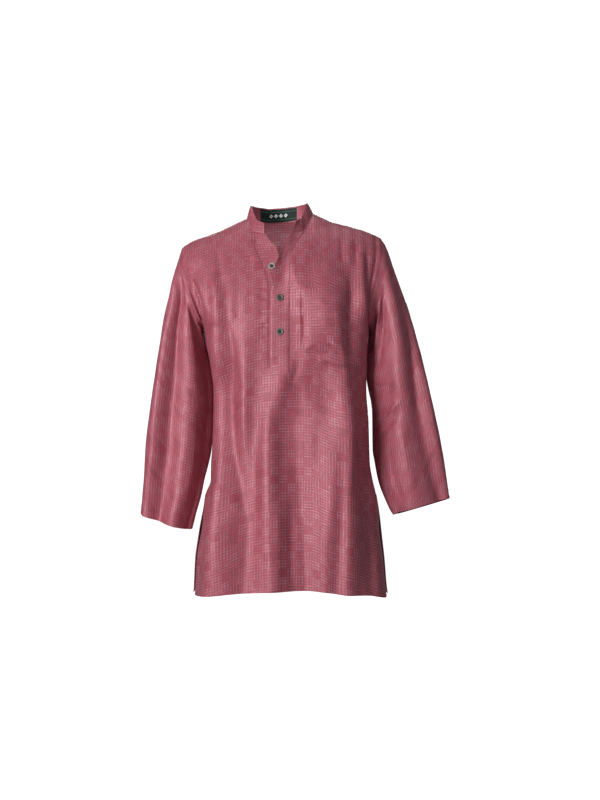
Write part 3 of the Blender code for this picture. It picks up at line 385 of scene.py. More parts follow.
@dataclass
class BodyForm:
    """The shape of the kurta's body, on which its front, back, bands and pocket lie."""

    armpit: float = -264.0
    placket_foot: float = -364.0
    slit_top: float = -655.0
    hem: float = -888.0
    roll: dict[Face, float] = pair(60.0, 70.0, Face)
    slit_open: dict[Face, float] = pair(16.0, 12.0, Face)
    ripple_seed: dict[Face, int] = pair(5, 6, Face)
    flap_inset: float = 6.0
    fade_side: float = 34.0
    fade_crest: float = 45.0
    half_seam: float = 0.05
    seam_dip: float = 0.9
    seam_dip_width: float = 3.0
    side_clear: float = 12.0
    crest_clear: float = 14.0
    placket_middle: float = 1.0
    placket_half: float = 22.0
    placket_calm: float = 0.75
    calm_below: float = 40.0
    placket_dip: float = 2.0
    placket_dip_in: float = 2.5
    placket_dip_width: float = 3.6
    armhole_dip: float = 2.2
    armhole_dip_width: float = 7.0
    unevenness: float = 0.55
    press_at: float = 14.0
    press_width: float = 28.0
    look: float = 0.5
    girth_steps: int = 20
    crest: SizeTable = SizeTable(
        "x z",
        (-262, -84), (-228, -65), (-200, -50), (-159, -36), (-124, -21), (-95, -7), (-79, 0), (-40, 9),
        (0, 14), (40, 15), (79, 12), (90, 7), (121, -7), (174, -21), (205, -31), (228, -40), (262, -62),
    )
    girth: SizeTable = SizeTable(
        "z right left front back",
        (20, -262, 266, 48, 88), (-40, -262, 264, 61, 98), (-65, -262, 262, 71, 104),
        (-100, -258, 258, 86, 111), (-145, -246, 249, 103, 116), (-193, -228, 237, 114, 118),
        (-228, -208, 229, 118, 118), (-245, -193, 219, 120, 117), (-264, -181, 212, 121, 116),
        (-300, -176, 209, 122, 114), (-336, -168, 208, 122, 111), (-371, -162, 207, 121, 108),
        (-407, -158, 206, 120, 106), (-478, -159, 211, 119, 105), (-550, -162, 213, 121, 107),
        (-578, -164, 214, 122, 109), (-621, -165, 221, 125, 112), (-650, -176, 228, 127, 114),
        (-693, -183, 236, 130, 116), (-750, -193, 243, 133, 119), (-807, -202, 250, 136, 122),
        (-864, -205, 255, 138, 125), (-888, -206, 258, 139, 126),
    )
    section_power: SizeTable = SizeTable("z power", (20, 2.3), (-100, 2.4), (-240, 3.0), (-900, 3.0))
    sleeve_press: dict[Side, SizeTable] = pair(
        SizeTable(
            "z dent", (-264, 0), (-272, 2), (-295, 5), (-330, 5.5), (-490, 4.8), (-530, 3), (-590, 0)
        ),
        SizeTable("z dent", (-264, 0), (-272, 1.2), (-300, 3.5), (-330, 5), (-371, 4.2), (-415, 0)),
    )
    armhole: dict[Side, SizeTable] = pair(
        SizeTable(
            "z x", (-65, -228), (-102, -226), (-145, -216.6), (-193, -202), (-236, -188), (-264, -181)
        ),
        SizeTable(
            "z x",
            (-40, 228.5), (-78, 228.5), (-121, 223.7), (-157, 216.6), (-193, 210), (-228, 209.5), (-264, 212),
        ),
    )
    placket: SizeTable = SizeTable(
        "z right left under_edge over_edge under_lift over_lift",
        (-35, -62, 56, -36, 26, 3, 9), (-48, -59.5, 50, -30, 22, 6, 12), (-66, -55.5, 40, -16, 12, 8, 18),
        (-78, -52, 31, -6, 5.7, 7, 21), (-105, -40, 22, -1, -2.5, 4, 23), (-124, -31, 21, 1, -8.8, 2, 19),
        (-162, -20.6, 21, 8, -13.5, 0, 7), (-182, -19.4, 21, 13, -19.4, 0, 1),
        (-200, -19.2, 21, 15, -20.5, 0, 0), (-364, -19.2, 21, 15, -20.5, 0, 0),
    )
    hem_line: dict[Face, SizeTable] = pair(
        SizeTable(
            "x z",
            (-206, -889), (-150, -882), (-106, -876), (-71, -873.5), (-24, -870), (65, -868), (112, -872),
            (150, -878), (211, -882), (258, -896),
        ),
        SizeTable("x z", (-206, -889), (-110, -886), (26, -882), (160, -886), (258, -893)),
        Face,
    )

    def drop_at(self, x: Any, z: Any, face: Face) -> Array:
        """Measures the cloth from the shoulder crest, round its roll, down to a height.

        Args:
            x: Places across.
            z: Heights.
            face: The front or back.

        Returns:
            The lengths of cloth.
        """
        roll, fall = self.roll[face], self.crest.read("z", x) - z
        bend = np.arccos(np.clip(1 - fall / roll, 0.0, 1.0))
        return np.where(fall < roll, roll * bend, fall + roll * (math.pi / 2 - 1))

    def height_at(self, x: Any, drop: Any, face: Face) -> Array:
        """Finds the height that a length of cloth reaches down to.

        Args:
            x: Places across.
            drop: Lengths from the crest.
            face: The front or back.

        Returns:
            The heights.
        """
        roll = self.roll[face]
        bend = np.minimum(drop / roll, math.pi / 2)
        hang = np.maximum(drop - roll * math.pi / 2, 0.0)
        return self.crest.read("z", x) - roll * (1 - np.cos(bend)) - hang

    def edge_at(self, z: Array, side: Side) -> Array:
        """Finds a half's edge: the armhole seam, or the side seam below it."""
        return np.where(z > self.armpit, self.armhole[side].read("x", z), self.girth.read(side.value, z))

    def to_side(self, x: Array, z: Array) -> Array:
        """Measures across to the nearer side seam or armhole."""
        return np.minimum(x - self.edge_at(z, Side.RIGHT), self.edge_at(z, Side.LEFT) - x)

    def flap_edges(self, z: Any, face: Face) -> list[Array]:
        """Finds a half's reach on both sides. The front flaps lie a little inside the back ones."""
        inset = self.flap_inset * smooth((self.slit_top - z) / 90.0) if face is Face.FRONT else 0.0
        return [self.girth.read("right", z) + inset, self.girth.read("left", z) - inset]

    def base(self, x: Any, drop: Any, face: Face) -> Array:
        """Places points on the smooth body.

        Args:
            x: Places across.
            drop: Lengths from the crest.
            face: The front or back.

        Returns:
            The points.
        """
        z = self.height_at(x, drop, face)
        right, left = self.flap_edges(z, face)
        across = np.clip(np.abs(x - (left + right) / 2) / ((left - right) / 2), 0.0, 1.0)
        power = self.section_power.read("power", z)
        section = (1 - across**power) ** (1 / power)
        opened = self.slit_open[face] * smooth((self.slit_top - z) / (self.slit_top - self.hem))
        rolled = np.sin(np.minimum(drop / self.roll[face], math.pi / 2))
        depth = (opened + (self.girth.read(face.value, z) - opened) * section) * rolled + self.half_seam
        return join(x + 0 * depth, depth if face is Face.BACK else -depth, z)

    def base_normal(self, x: Any, drop: Any, face: Face) -> Array:
        """Finds the smooth body's outward unit normals.

        Args:
            x: Places across.
            drop: Lengths from the crest.
            face: The front or back.

        Returns:
            The normals.
        """
        step = self.look
        over = self.base(x + step, drop, face) - self.base(x - step, drop, face)
        along = self.base(x, drop + step, face) - self.base(x, np.maximum(drop - step, 0.0), face)
        normal = unit(np.cross(along, over))
        return normal if face is Face.FRONT else -normal

    def fold_height(self, x: Array, z: Array, face: Face) -> Array:
        """Adds up the large folds, which fade towards the seams that hold the cloth flat.

        Args:
            x: Places across.
            z: Heights.
            face: The front or back.

        Returns:
            How far the folds push the cloth out.
        """
        total = np.zeros(np.shape(x))
        for one in LARGE_FOLDS[face]:
            away = x - one.read("x", z)
            width = np.where(away < 0, one.read("right", z), one.read("left", z))
            total = total + one.read("height", z) * bell(away, width)
        free = 0.5 * smooth((self.slit_top - z) / 120.0)
        held = np.maximum(smooth(self.to_side(x, z) / self.fade_side), free)
        return total * held * smooth((self.crest.read("z", x) - z) / self.fade_crest)

    def small_height(self, x: Array, z: Array, drop: Array, face: Face) -> Array:
        """Adds up small creases, unevenness and the dips that seams pull.

        Args:
            x: Places across.
            z: Heights.
            drop: Lengths from the crest.
            face: The front or back.

        Returns:
            How far the cloth is pushed out.
        """
        to_side = np.maximum(self.to_side(x, z), 0.0)
        total = sum(one.rise(x, z) for one in SMALL_CREASES[face])
        total = total + ripple(x, z, self.ripple_seed[face], self.unevenness)
        total = total * smooth(to_side / self.side_clear) * smooth(drop / self.crest_clear)
        below_placket = smooth((self.placket_foot - self.calm_below - z) / 60.0)
        over_placket = 1 - smooth((np.abs(x - self.placket_middle) - self.placket_half) / 12.0)
        total = total * (1 - self.placket_calm * over_placket * (1 - below_placket))
        if face is Face.FRONT:
            beside = bell(x - self.placket.read("right", z) + self.placket_dip_in, self.placket_dip_width)
            total = total - self.placket_dip * beside * smooth((self.placket_foot - z + 4) / -6.0)
        above = z > self.armpit
        depth = np.where(above, self.armhole_dip, self.seam_dip) * np.where(z > self.slit_top, 1.0, 0.0)
        width = np.where(above, self.armhole_dip_width, self.seam_dip_width)
        total = total - depth * bell(to_side, width) * smooth(drop / 30.0)
        return total - self.seam_dip * bell(drop, self.seam_dip_width)

    def pressed(self, base: Array) -> Array:
        """Finds how far the hanging sleeves press the flanks across.

        Args:
            base: Points on the smooth body.

        Returns:
            How far to move each one to the wearer's left.
        """
        right, left = (self.sleeve_press[side].read("dent", base[..., 2]) for side in Side)
        reach = bell(base[..., 1] - self.press_at, self.press_width)
        return np.where(base[..., 0] < 0, right, -left) * reach

    def surface(self, x: Any, drop: Any, face: Face, out: Any = 0.0) -> Array:
        """Places points on the finished cloth.

        Args:
            x: Places across.
            drop: Lengths from the crest.
            face: The front or back.
            out: How far out from the cloth the points lie.

        Returns:
            The points.
        """
        base = self.base(x, drop, face)
        height = self.fold_height(x, base[..., 2], face) + self.small_height(x, base[..., 2], drop, face)
        points = base + self.base_normal(x, drop, face) * (height + out)[..., None]
        points[..., 0] += self.pressed(base)
        return points

    def on_front(self, x: Any, z: Any, out: Any = 0.0) -> Array:
        """Places points on the front's finished cloth by their heights."""
        return self.surface(x, self.drop_at(x, z, Face.FRONT), Face.FRONT, out)

    def girth_from_middle(self, x: Array, drop: Array, face: Face) -> Array:
        """Measures the cloth across from the middle line.

        Args:
            x: Places across.
            drop: Lengths from the crest.
            face: The front or back.

        Returns:
            Signed lengths of cloth.
        """
        t = np.linspace(0, 1, self.girth_steps)
        line = self.base(x[..., None] * t, drop[..., None] + 0 * t, face)
        return np.sign(x) * np.linalg.norm(np.diff(line, axis=-2), axis=-1).sum(axis=-1)


@dataclass
class PanelGrid:
    """How finely the body's halves are divided, as places across and lengths down."""

    form: BodyForm
    shoulder_columns: int = 58
    neck_columns: int = 26
    slot_columns: int = 14
    back_neck_columns: int = 56
    yoke_rows: int = 62
    chest_rows: int = 24
    waist_rows: int = 64
    flap_rows: int = 52
    neck_half: float = 79.0
    back_neck_drop: float = 50.0
    seam_head: dict[Side, float] = pair(-35.0, -40.0)
    tip: dict[Side, float] = pair(-228.0, 228.5)

    @property
    def half_columns(self) -> int:
        """Counts the columns from an armhole to the placket's seam."""
        return self.shoulder_columns + self.neck_columns

    def armhole_edge(self, side: Side, face: Face) -> Array:
        """Runs down an armhole.

        Args:
            side: The wearer's side.
            face: The front or back.

        Returns:
            Places across and lengths down, from the shoulder tip to the armpit.
        """
        form, tip = self.form, self.tip[side]
        deepest = form.drop_at(tip, form.armpit, face)
        z = form.height_at(tip, np.linspace(0, deepest, self.yoke_rows + 1), face)
        z[-1] = form.armpit
        x = form.armhole[side].read("x", z)
        x[0] = tip
        drop = form.drop_at(x, z, face)
        drop[0] = 0.0
        return join(x, drop)

    def armpit_row(self, x: Array, face: Face, start: Array, end: Array) -> Array:
        """Runs across at the armpits' height, from the foot of one edge to the foot of the other."""
        row = join(x, self.form.drop_at(x, self.form.armpit, face))
        return np.concatenate([start[-1:], row[1:-1], end[-1:]])

    def front_yoke(self, side: Side) -> Array:
        """Fills one side of the upper front.

        Args:
            side: The wearer's side.

        Returns:
            Places across and lengths down, from the armhole to the placket seam.
        """
        form = self.form
        neck = -self.neck_half if side is Side.RIGHT else self.neck_half
        start = self.armhole_edge(side, Face.FRONT)
        head = self.seam_head[side]
        seam_x = form.placket.read(side.value, head)
        shoulder_x = np.linspace(start[0, 0], neck, self.shoulder_columns + 1)
        turn = np.linspace(0, 1, self.neck_columns + 1)[1:]
        round_neck = join(blend(neck, seam_x, turn**2), form.drop_at(seam_x, head, Face.FRONT) * turn)
        top = np.concatenate([join(shoulder_x, np.zeros(len(shoulder_x))), round_neck])
        end_z = np.linspace(head, form.armpit, self.yoke_rows + 1)
        end_x = form.placket.read(side.value, end_z)
        end = join(end_x, form.drop_at(end_x, end_z, Face.FRONT))
        end[0] = top[-1]
        foot = self.armpit_row(crowded(start[-1, 0], end[-1, 0], self.half_columns), Face.FRONT, start, end)
        return coons(start, end, top, foot)

    def lower_rows(self, face: Face, spread: Callable[[float], Array]) -> Array:
        """Lays out the rows below the armpit, of which those below the slits follow the hem's own line.

        Args:
            face: The front or back.
            spread: Gives a row's places across at a height.

        Returns:
            Places across and lengths down.
        """
        form = self.form
        stops = form.armpit, form.placket_foot, form.slit_top, form.hem
        counts = self.chest_rows, self.waist_rows, self.flap_rows
        levels = [np.linspace(*span, count + 1)[1:] for *span, count in zip(stops, stops[1:], counts)]
        rows = []
        for z in np.concatenate(levels):
            x = spread(z)
            share = smooth((form.slit_top - z) / (form.slit_top - form.hem)) ** 1.2
            hem_z = z + share * (form.hem_line[face].read("z", x) - form.hem)
            rows.append(join(x, form.drop_at(x, hem_z, face)))
        return np.array(rows)

    def front(self) -> Array:
        """Lays out the whole front, with the placket's slot still filled.

        Returns:
            Places across and lengths down.
        """

        def spread(z: float) -> Array:
            """Crowds a row's places towards its sides.

            Args:
                z: The row's height.

            Returns:
                Its places across.
            """
            edges = self.form.flap_edges(z, Face.FRONT)
            seams = [self.form.placket.read(side.value, z) for side in Side]
            right, left = (crowded(edge, seam, self.half_columns) for edge, seam in zip(edges, seams))
            return np.concatenate([right, np.linspace(*seams, self.slot_columns + 1)[1:-1], left[::-1]])

        right, left = self.front_yoke(Side.RIGHT), self.front_yoke(Side.LEFT)[:, ::-1]
        inside = np.linspace(0, 1, self.slot_columns + 1)[None, 1:-1, None]
        yoke = np.concatenate([right, blend(right[:, -1:], left[:, :1], inside), left], axis=1)
        return np.concatenate([yoke, self.lower_rows(Face.FRONT, spread)])

    def slot(self) -> Array:
        """Marks the cells of the front that are kept round the placket's slot.

        Returns:
            Whether each cell is kept.
        """
        above_foot = self.yoke_rows + self.chest_rows
        cells = above_foot + self.waist_rows + self.flap_rows, 2 * self.half_columns + self.slot_columns
        kept = np.ones(cells, bool)
        kept[:above_foot, self.half_columns : self.half_columns + self.slot_columns] = False
        return kept

    def back(self) -> Array:
        """Lays out the whole back.

        Returns:
            Places across and lengths down.
        """
        start, end = (self.armhole_edge(side, Face.BACK) for side in Side)
        right_x = np.linspace(start[0, 0], -self.neck_half, self.shoulder_columns)
        left_x = np.linspace(self.neck_half, end[0, 0], self.shoulder_columns)
        turn = np.linspace(0, math.pi, self.back_neck_columns + 1)[1:-1]
        top_x = np.concatenate([right_x, -self.neck_half * np.cos(turn), left_x])
        level = np.zeros(self.shoulder_columns)
        top = join(top_x, np.concatenate([level, self.back_neck_drop * np.sin(turn), level]))
        spread = np.linspace(-1, 1, len(top_x))
        spread = np.sign(spread) * (1 - (1 - np.abs(spread)) ** 1.5)

        def between(right: float, left: float) -> Array:
            """Crowds places towards both ends of a row."""
            return (right + left) / 2 + (left - right) / 2 * spread

        foot = self.armpit_row(between(start[-1, 0], end[-1, 0]), Face.BACK, start, end)
        lower = self.lower_rows(Face.BACK, lambda z: between(*self.form.flap_edges(z, Face.BACK)))
        return np.concatenate([coons(start, end, top, foot), lower])


# ---- cloth shells

HEM_STEP = 1.4
STITCH_GROOVE = 1.3


def hem_step(distance: Array, hem: float) -> Array:
    """Steps from 0 to 1 where the cloth's edge is close enough to lie doubled."""
    return smooth((hem + 1.0 - distance) / HEM_STEP)


def from_ends(length: Array) -> Array:
    """Turns lengths along a grid's rows into distances to their nearer end."""
    return np.minimum(length, length[:, [-1]] - length)


def link(name: str, data: Any) -> Piece:
    """Puts an object into the scene.

    Args:
        name: The object's name.
        data: Its mesh, lamp or camera.

    Returns:
        The object.
    """
    made = bpy.data.objects.new(name, data)
    bpy.context.scene.collection.objects.link(made)
    return made


def place_mesh(name: str, points: Array, faces: Array, finish: Finish, place: Array | None = None) -> Piece:
    """Puts a mesh into the scene, shaded smooth.

    Args:
        name: The object's name.
        points: Its points, in millimetres.
        faces: The points' numbers, one row for each face.
        finish: Its material.
        place: A place on the cloth for each corner of each face, in metres.

    Returns:
        The object.
    """
    data = bpy.data.meshes.new(name)
    data.from_pydata(points * MM, [], faces.tolist())
    if place is not None:
        grain = data.uv_layers.new(name="cloth_grain").data
        grain.foreach_set("uv", np.ascontiguousarray(place, np.float32).ravel())
    data.materials.append(finish)
    data.shade_smooth()
    data.set_sharp_from_angle(angle=math.radians(55))
    return link(name, data)


@dataclass
class Shell:
    """A thin wall of cloth between its outer points and the points one thickness behind them."""

    name: str
    outer: Array
    place: Array
    thickness: Any = 0.9
    turned: bool = False
    kept: Array | None = None

    def __post_init__(self) -> None:
        """Finds the outer points' normals."""
        self.normals = grid_normals(self.outer, self.turned)

    def along(self, edge: Edge, inset: float, start: float = 0.0, end: float = 1.0) -> Line:
        """Follows an edge at a distance, on the outside of the cloth.

        Args:
            edge: The edge to follow.
            inset: How far in from it the line lies.
            start: The fraction of the edge where the line starts.
            end: The fraction where it ends.

        Returns:
            The line's points and its normals.
        """
        points, normals = self.outer, self.normals
        if edge in (Edge.FIRST, Edge.LAST):
            points, normals = points.swapaxes(0, 1), normals.swapaxes(0, 1)
        if edge in (Edge.FOOT, Edge.LAST):
            points, normals = points[::-1], normals[::-1]
        length = run_length(points, 0)
        row, column = (length < inset).sum(axis=0).clip(1, len(points) - 1), np.arange(points.shape[1])
        before, after = length[row - 1, column], length[row, column]
        share = np.clip((inset - before) / np.maximum(after - before, 1e-6), 0.0, 1.0)[:, None]
        line, out = (blend(grid[row - 1, column], grid[row, column], share) for grid in (points, normals))
        last = len(line) - 1
        span = slice(int(round(start * last)), int(round(end * last)) + 1)
        return line[span], unit(out)[span]

    def build(self, finish: Finish) -> Piece:
        """Makes the closed mesh.

        Args:
            finish: The cloth's material.

        Returns:
            The object, in the scene.
        """
        rows, columns = self.outer.shape[:2]
        inner = self.outer - self.normals * np.broadcast_to(self.thickness, (rows, columns))[..., None]
        index = np.arange(rows * columns).reshape(rows, columns)
        ring = join(index[:-1, :-1], index[1:, :-1], index[1:, 1:], index[:-1, 1:])
        ring = ring[self.kept] if self.kept is not None else ring.reshape(-1, 4)
        ring = ring[:, ::-1] if self.turned else ring
        sides = join(ring, np.roll(ring, -1, axis=1)).reshape(-1, 2)
        back = rows * columns
        pairs = sides.min(axis=1) * back + sides.max(axis=1)
        _, first, count = np.unique(pairs, return_index=True, return_counts=True)
        free = sides[first[count == 1]]
        rim = join(free[:, 1], free[:, 0], free[:, 0] + back, free[:, 1] + back)
        used, faces = np.unique(np.concatenate([ring, ring[:, ::-1] + back, rim]), return_inverse=True)
        faces = faces.reshape(-1, 4)
        points = np.concatenate([self.outer.reshape(-1, 3), inner.reshape(-1, 3)])[used]
        place = np.concatenate([self.place.reshape(-1, 2)] * 2)[used]
        return place_mesh(self.name, points, faces, finish, place[faces.ravel()])


@dataclass(frozen=True)
class Seamstress:
    """Sews lines of stitches: each is a short arched thread whose ends go into the cloth."""

    stitch: float = 2.6
    pitch: float = 3.3
    thread: float = 0.24
    arch: float = 0.22
    sunk: float = 0.12
    rings: int = 5
    sides: int = 5

    def sew(self, name: str, lines: list[Line], finish: Finish) -> Piece:
        """Sews along lines of points.

        Args:
            name: The stitching's name.
            lines: Each line's points and its normals.
            finish: The thread's material.

        Returns:
            One object with all the stitches.
        """
        stitches = np.concatenate([self._stitches(*line) for line in lines])
        first = np.arange(len(stitches))[:, None, None] * self.rings * self.sides
        faces = skin(self.rings - 1, self.sides)[None] + first
        return place_mesh(name, stitches.reshape(-1, 3), faces.reshape(-1, 4), finish)

    def _stitches(self, line: Array, out: Array) -> Array:
        """Places every stitch's rings along one line.

        Args:
            line: The line's points.
            out: Its normals.

        Returns:
            Points by stitch, ring and side.
        """
        length = run_length(line[:, None], 0)[:, 0]
        starts = np.arange(self.pitch / 2, max(length[-1] - self.pitch / 2, self.pitch), self.pitch)
        t = np.linspace(0, 1, self.rings)
        at = starts[:, None] + (t[None, :] - 0.5) * self.stitch
        centre, up = (join(*(np.interp(at, length, part) for part in values.T)) for values in (line, out))
        up = unit(up)
        beside = unit(np.cross(up, unit(np.gradient(centre, axis=1))))[:, :, None]
        centre = centre + up * (self.arch * np.sin(math.pi * t) - self.sunk)[None, :, None]
        turn = circle(self.sides)[None, None, :, None]
        radius = self.thread * (0.45 + 0.55 * np.sin(math.pi * t) ** 0.5)[None, :, None, None]
        return centre[:, :, None] + (np.cos(turn) * beside + np.sin(turn) * up[:, :, None]) * radius


# ---- sleeves

# The outer and the inner edge of each sleeve.
SLEEVE_EDGES: dict[Side, tuple[SizeTable, ...]] = {
    Side.RIGHT: tables(
        "z x",
        ((-65, -228), (-79, -236), (-107, -244), (-136, -252), (-193, -264), (-250, -276), (-300, -284),
         (-371, -295), (-443, -305), (-514, -312.5), (-585, -318), (-657, -325), (-697, -328)),
        ((-264, -181), (-280, -177.5), (-300, -171.5), (-336, -163.5), (-371, -158.5), (-407, -155),
         (-478, -156), (-514, -159), (-550, -162), (-585, -169), (-621, -178), (-657, -185), (-693, -195),
         (-735, -206)),
    ),
    Side.LEFT: tables(
        "z x",
        ((-40, 228.5), (-50, 241), (-64, 251), (-93, 262), (-121, 271), (-164, 286), (-221, 305),
         (-300, 327), (-371, 345), (-443, 360.6), (-514, 376), (-585, 389), (-640, 397), (-664, 400)),
        ((-264, 212), (-280, 210), (-300, 207), (-336, 204.5), (-371, 204.5), (-395, 207), (-415, 211),
         (-436, 215.5), (-464, 218), (-550, 219), (-578, 223.5), (-607, 228.5), (-635, 235.5),
         (-664, 247), (-692, 260), (-702, 267)),
    ),
}
SLEEVE_RUNS: dict[Side, SizeTable] = {
    Side.RIGHT: SizeTable(
        "along outer inner depth forward dip",
        (0.0, -65, -264, 60, 0, 0), (0.1, -104, -267, 60, 0, 0), (0.2, -150, -273, 59, 1, 0),
        (0.3, -208, -289, 58, 2, 0), (0.4, -275, -324, 57, 4, 0), (0.5, -344, -376, 55, 7, 1),
        (0.6, -414, -442, 52, 10, 2), (0.8, -556, -584, 43, 17, 4), (1.0, -697, -735, 33, 24, 6),
    ),
    Side.LEFT: SizeTable(
        "along outer inner depth forward dip",
        (0.0, -40, -264, 60, 0, 0), (0.1, -82, -267, 60, 0, 0), (0.2, -130, -274, 59, 1, 0),
        (0.3, -190, -292, 58, 2, 0), (0.4, -256, -326, 57, 4, 0), (0.5, -322, -374, 55, 7, 0),
        (0.6, -390, -432, 52, 10, -1), (0.8, -528, -562, 43, 16, -3), (1.0, -664, -702, 34, 22, -5),
    ),
}
# Angles run from the outer edge (0) over the front (90) and the inner edge (180) to the back (270).
SLEEVE_FOLD = "along angle height spread"
SLEEVE_FOLDS: dict[Side, tuple[SizeTable, ...]] = {
    Side.RIGHT: tables(
        SLEEVE_FOLD,
        ((0.06, 34, 0, 16), (0.22, 36, 6, 15), (0.5, 38, 8, 15), (1.0, 38, 8, 16)),
        ((0.06, 66, 0, 15), (0.22, 69, -14, 15), (0.55, 72, -17, 17), (1.0, 72, -15, 17)),
        ((0.1, 96, 0, 18), (0.3, 100, 9, 17), (0.55, 104, 12, 18), (1.0, 106, 12, 19)),
        ((0.15, 130, 0, 13), (0.35, 134, -7, 14), (0.6, 144, -6, 14), (1.0, 150, -6, 14)),
        ((0.2, 250, 0, 22), (0.5, 246, 6, 22), (1.0, 240, 8, 22)),
        ((0.3, 300, 0, 18), (0.6, 304, -5, 18), (1.0, 300, -7, 18)),
    ),
    Side.LEFT: tables(
        SLEEVE_FOLD,
        ((0.12, 22, 0, 14), (0.35, 22, 2, 14), (0.6, 28, 4, 14), (1.0, 24, 4, 14)),
        ((0.08, 32, 0, 16), (0.3, 34, -8, 16), (0.44, 40, -10, 16), (0.6, 57, -11, 16),
         (0.76, 62, -11, 16), (0.88, 54, -8, 18), (1.0, 46, -8, 18)),
        ((0.1, 66, 0, 20), (0.35, 74, 9, 18), (0.6, 88, 12, 19), (0.76, 98, 12, 21), (1.0, 104, 9, 26)),
        ((0.2, 128, 0, 14), (0.42, 130, -4, 14), (0.8, 140, -4, 16), (1.0, 146, -5, 16)),
        ((0.2, 236, 0, 22), (0.5, 240, 6, 22), (1.0, 246, 8, 22)),
        ((0.3, 296, 0, 18), (0.6, 292, -5, 18), (1.0, 298, -7, 18)),
    ),
}
# Here x is in degrees round the sleeve, z in hundredths of its length and widths in millimetres.
SLEEVE_CREASES: dict[Side, tuple[Crease, ...]] = {
    Side.RIGHT: creases(
        (82, 2.8, 150, 2.8, 7.0, 9, 0), (98, 5.4, 140, 6.2, -3.5, 6, 0), (124, 8, 150, 42, 8.0, 10, 4),
        (104, 10, 130, 48, -6.0, 9, 5), (148, 4, 162, 26, -4.0, 8, 3), (70, 8, 62, 30, 2.2, 9, 3),
        (40, 16, 30, 44, -1.8, 8, -3), (76, 52, 120, 61, -2.4, 7, -4), (60, 58, 118, 68, 2.4, 8, 5),
        (150, 56, 96, 66, 1.8, 7, -4), (84, 70, 92, 98, -2.2, 7, 3), (118, 66, 124, 99, 2.4, 8, 2),
        (20, 60, 14, 96, 2.0, 9, 3), (158, 72, 146, 99, -2.6, 7, -3), (-60, 12, -96, 50, 3.0, 9, 6),
        (-110, 40, -50, 58, -3.0, 8, 6), (-124, 52, -60, 66, 2.6, 8, 6), (-80, 66, -92, 98, -2.4, 9, 4),
        (-30, 30, -36, 80, -2.0, 9, 4),
    ),
    Side.LEFT: creases(
        (90, 12, 138, 47, 7.0, 7, -6), (78, 14, 124, 50, -6.0, 7, -6), (102, 14, 160, 43, -6.0, 7, -4),
        (72, 6, 60, 34, 2.2, 9, 3), (44, 10, 36, 48, -2.2, 8, 4), (128, 67, 90, 63, 4.2, 6, -2),
        (134, 73, 92, 66, -4.2, 7, -3), (150, 55, 100, 58, -1.8, 6, 2), (66, 62, 52, 78, -2.2, 8, 3),
        (98, 72, 92, 99, 2.6, 8, 3), (118, 74, 122, 99, -2.6, 7, -3), (26, 50, 30, 96, 2.2, 9, -4),
        (-64, 12, -100, 50, 3.0, 9, -6), (-112, 42, -56, 60, -3.2, 8, -6), (-126, 54, -58, 68, 2.8, 8, -6),
        (-84, 66, -96, 98, -2.4, 9, -4), (-30, 28, -38, 82, -2.0, 9, -4),
    ),
}


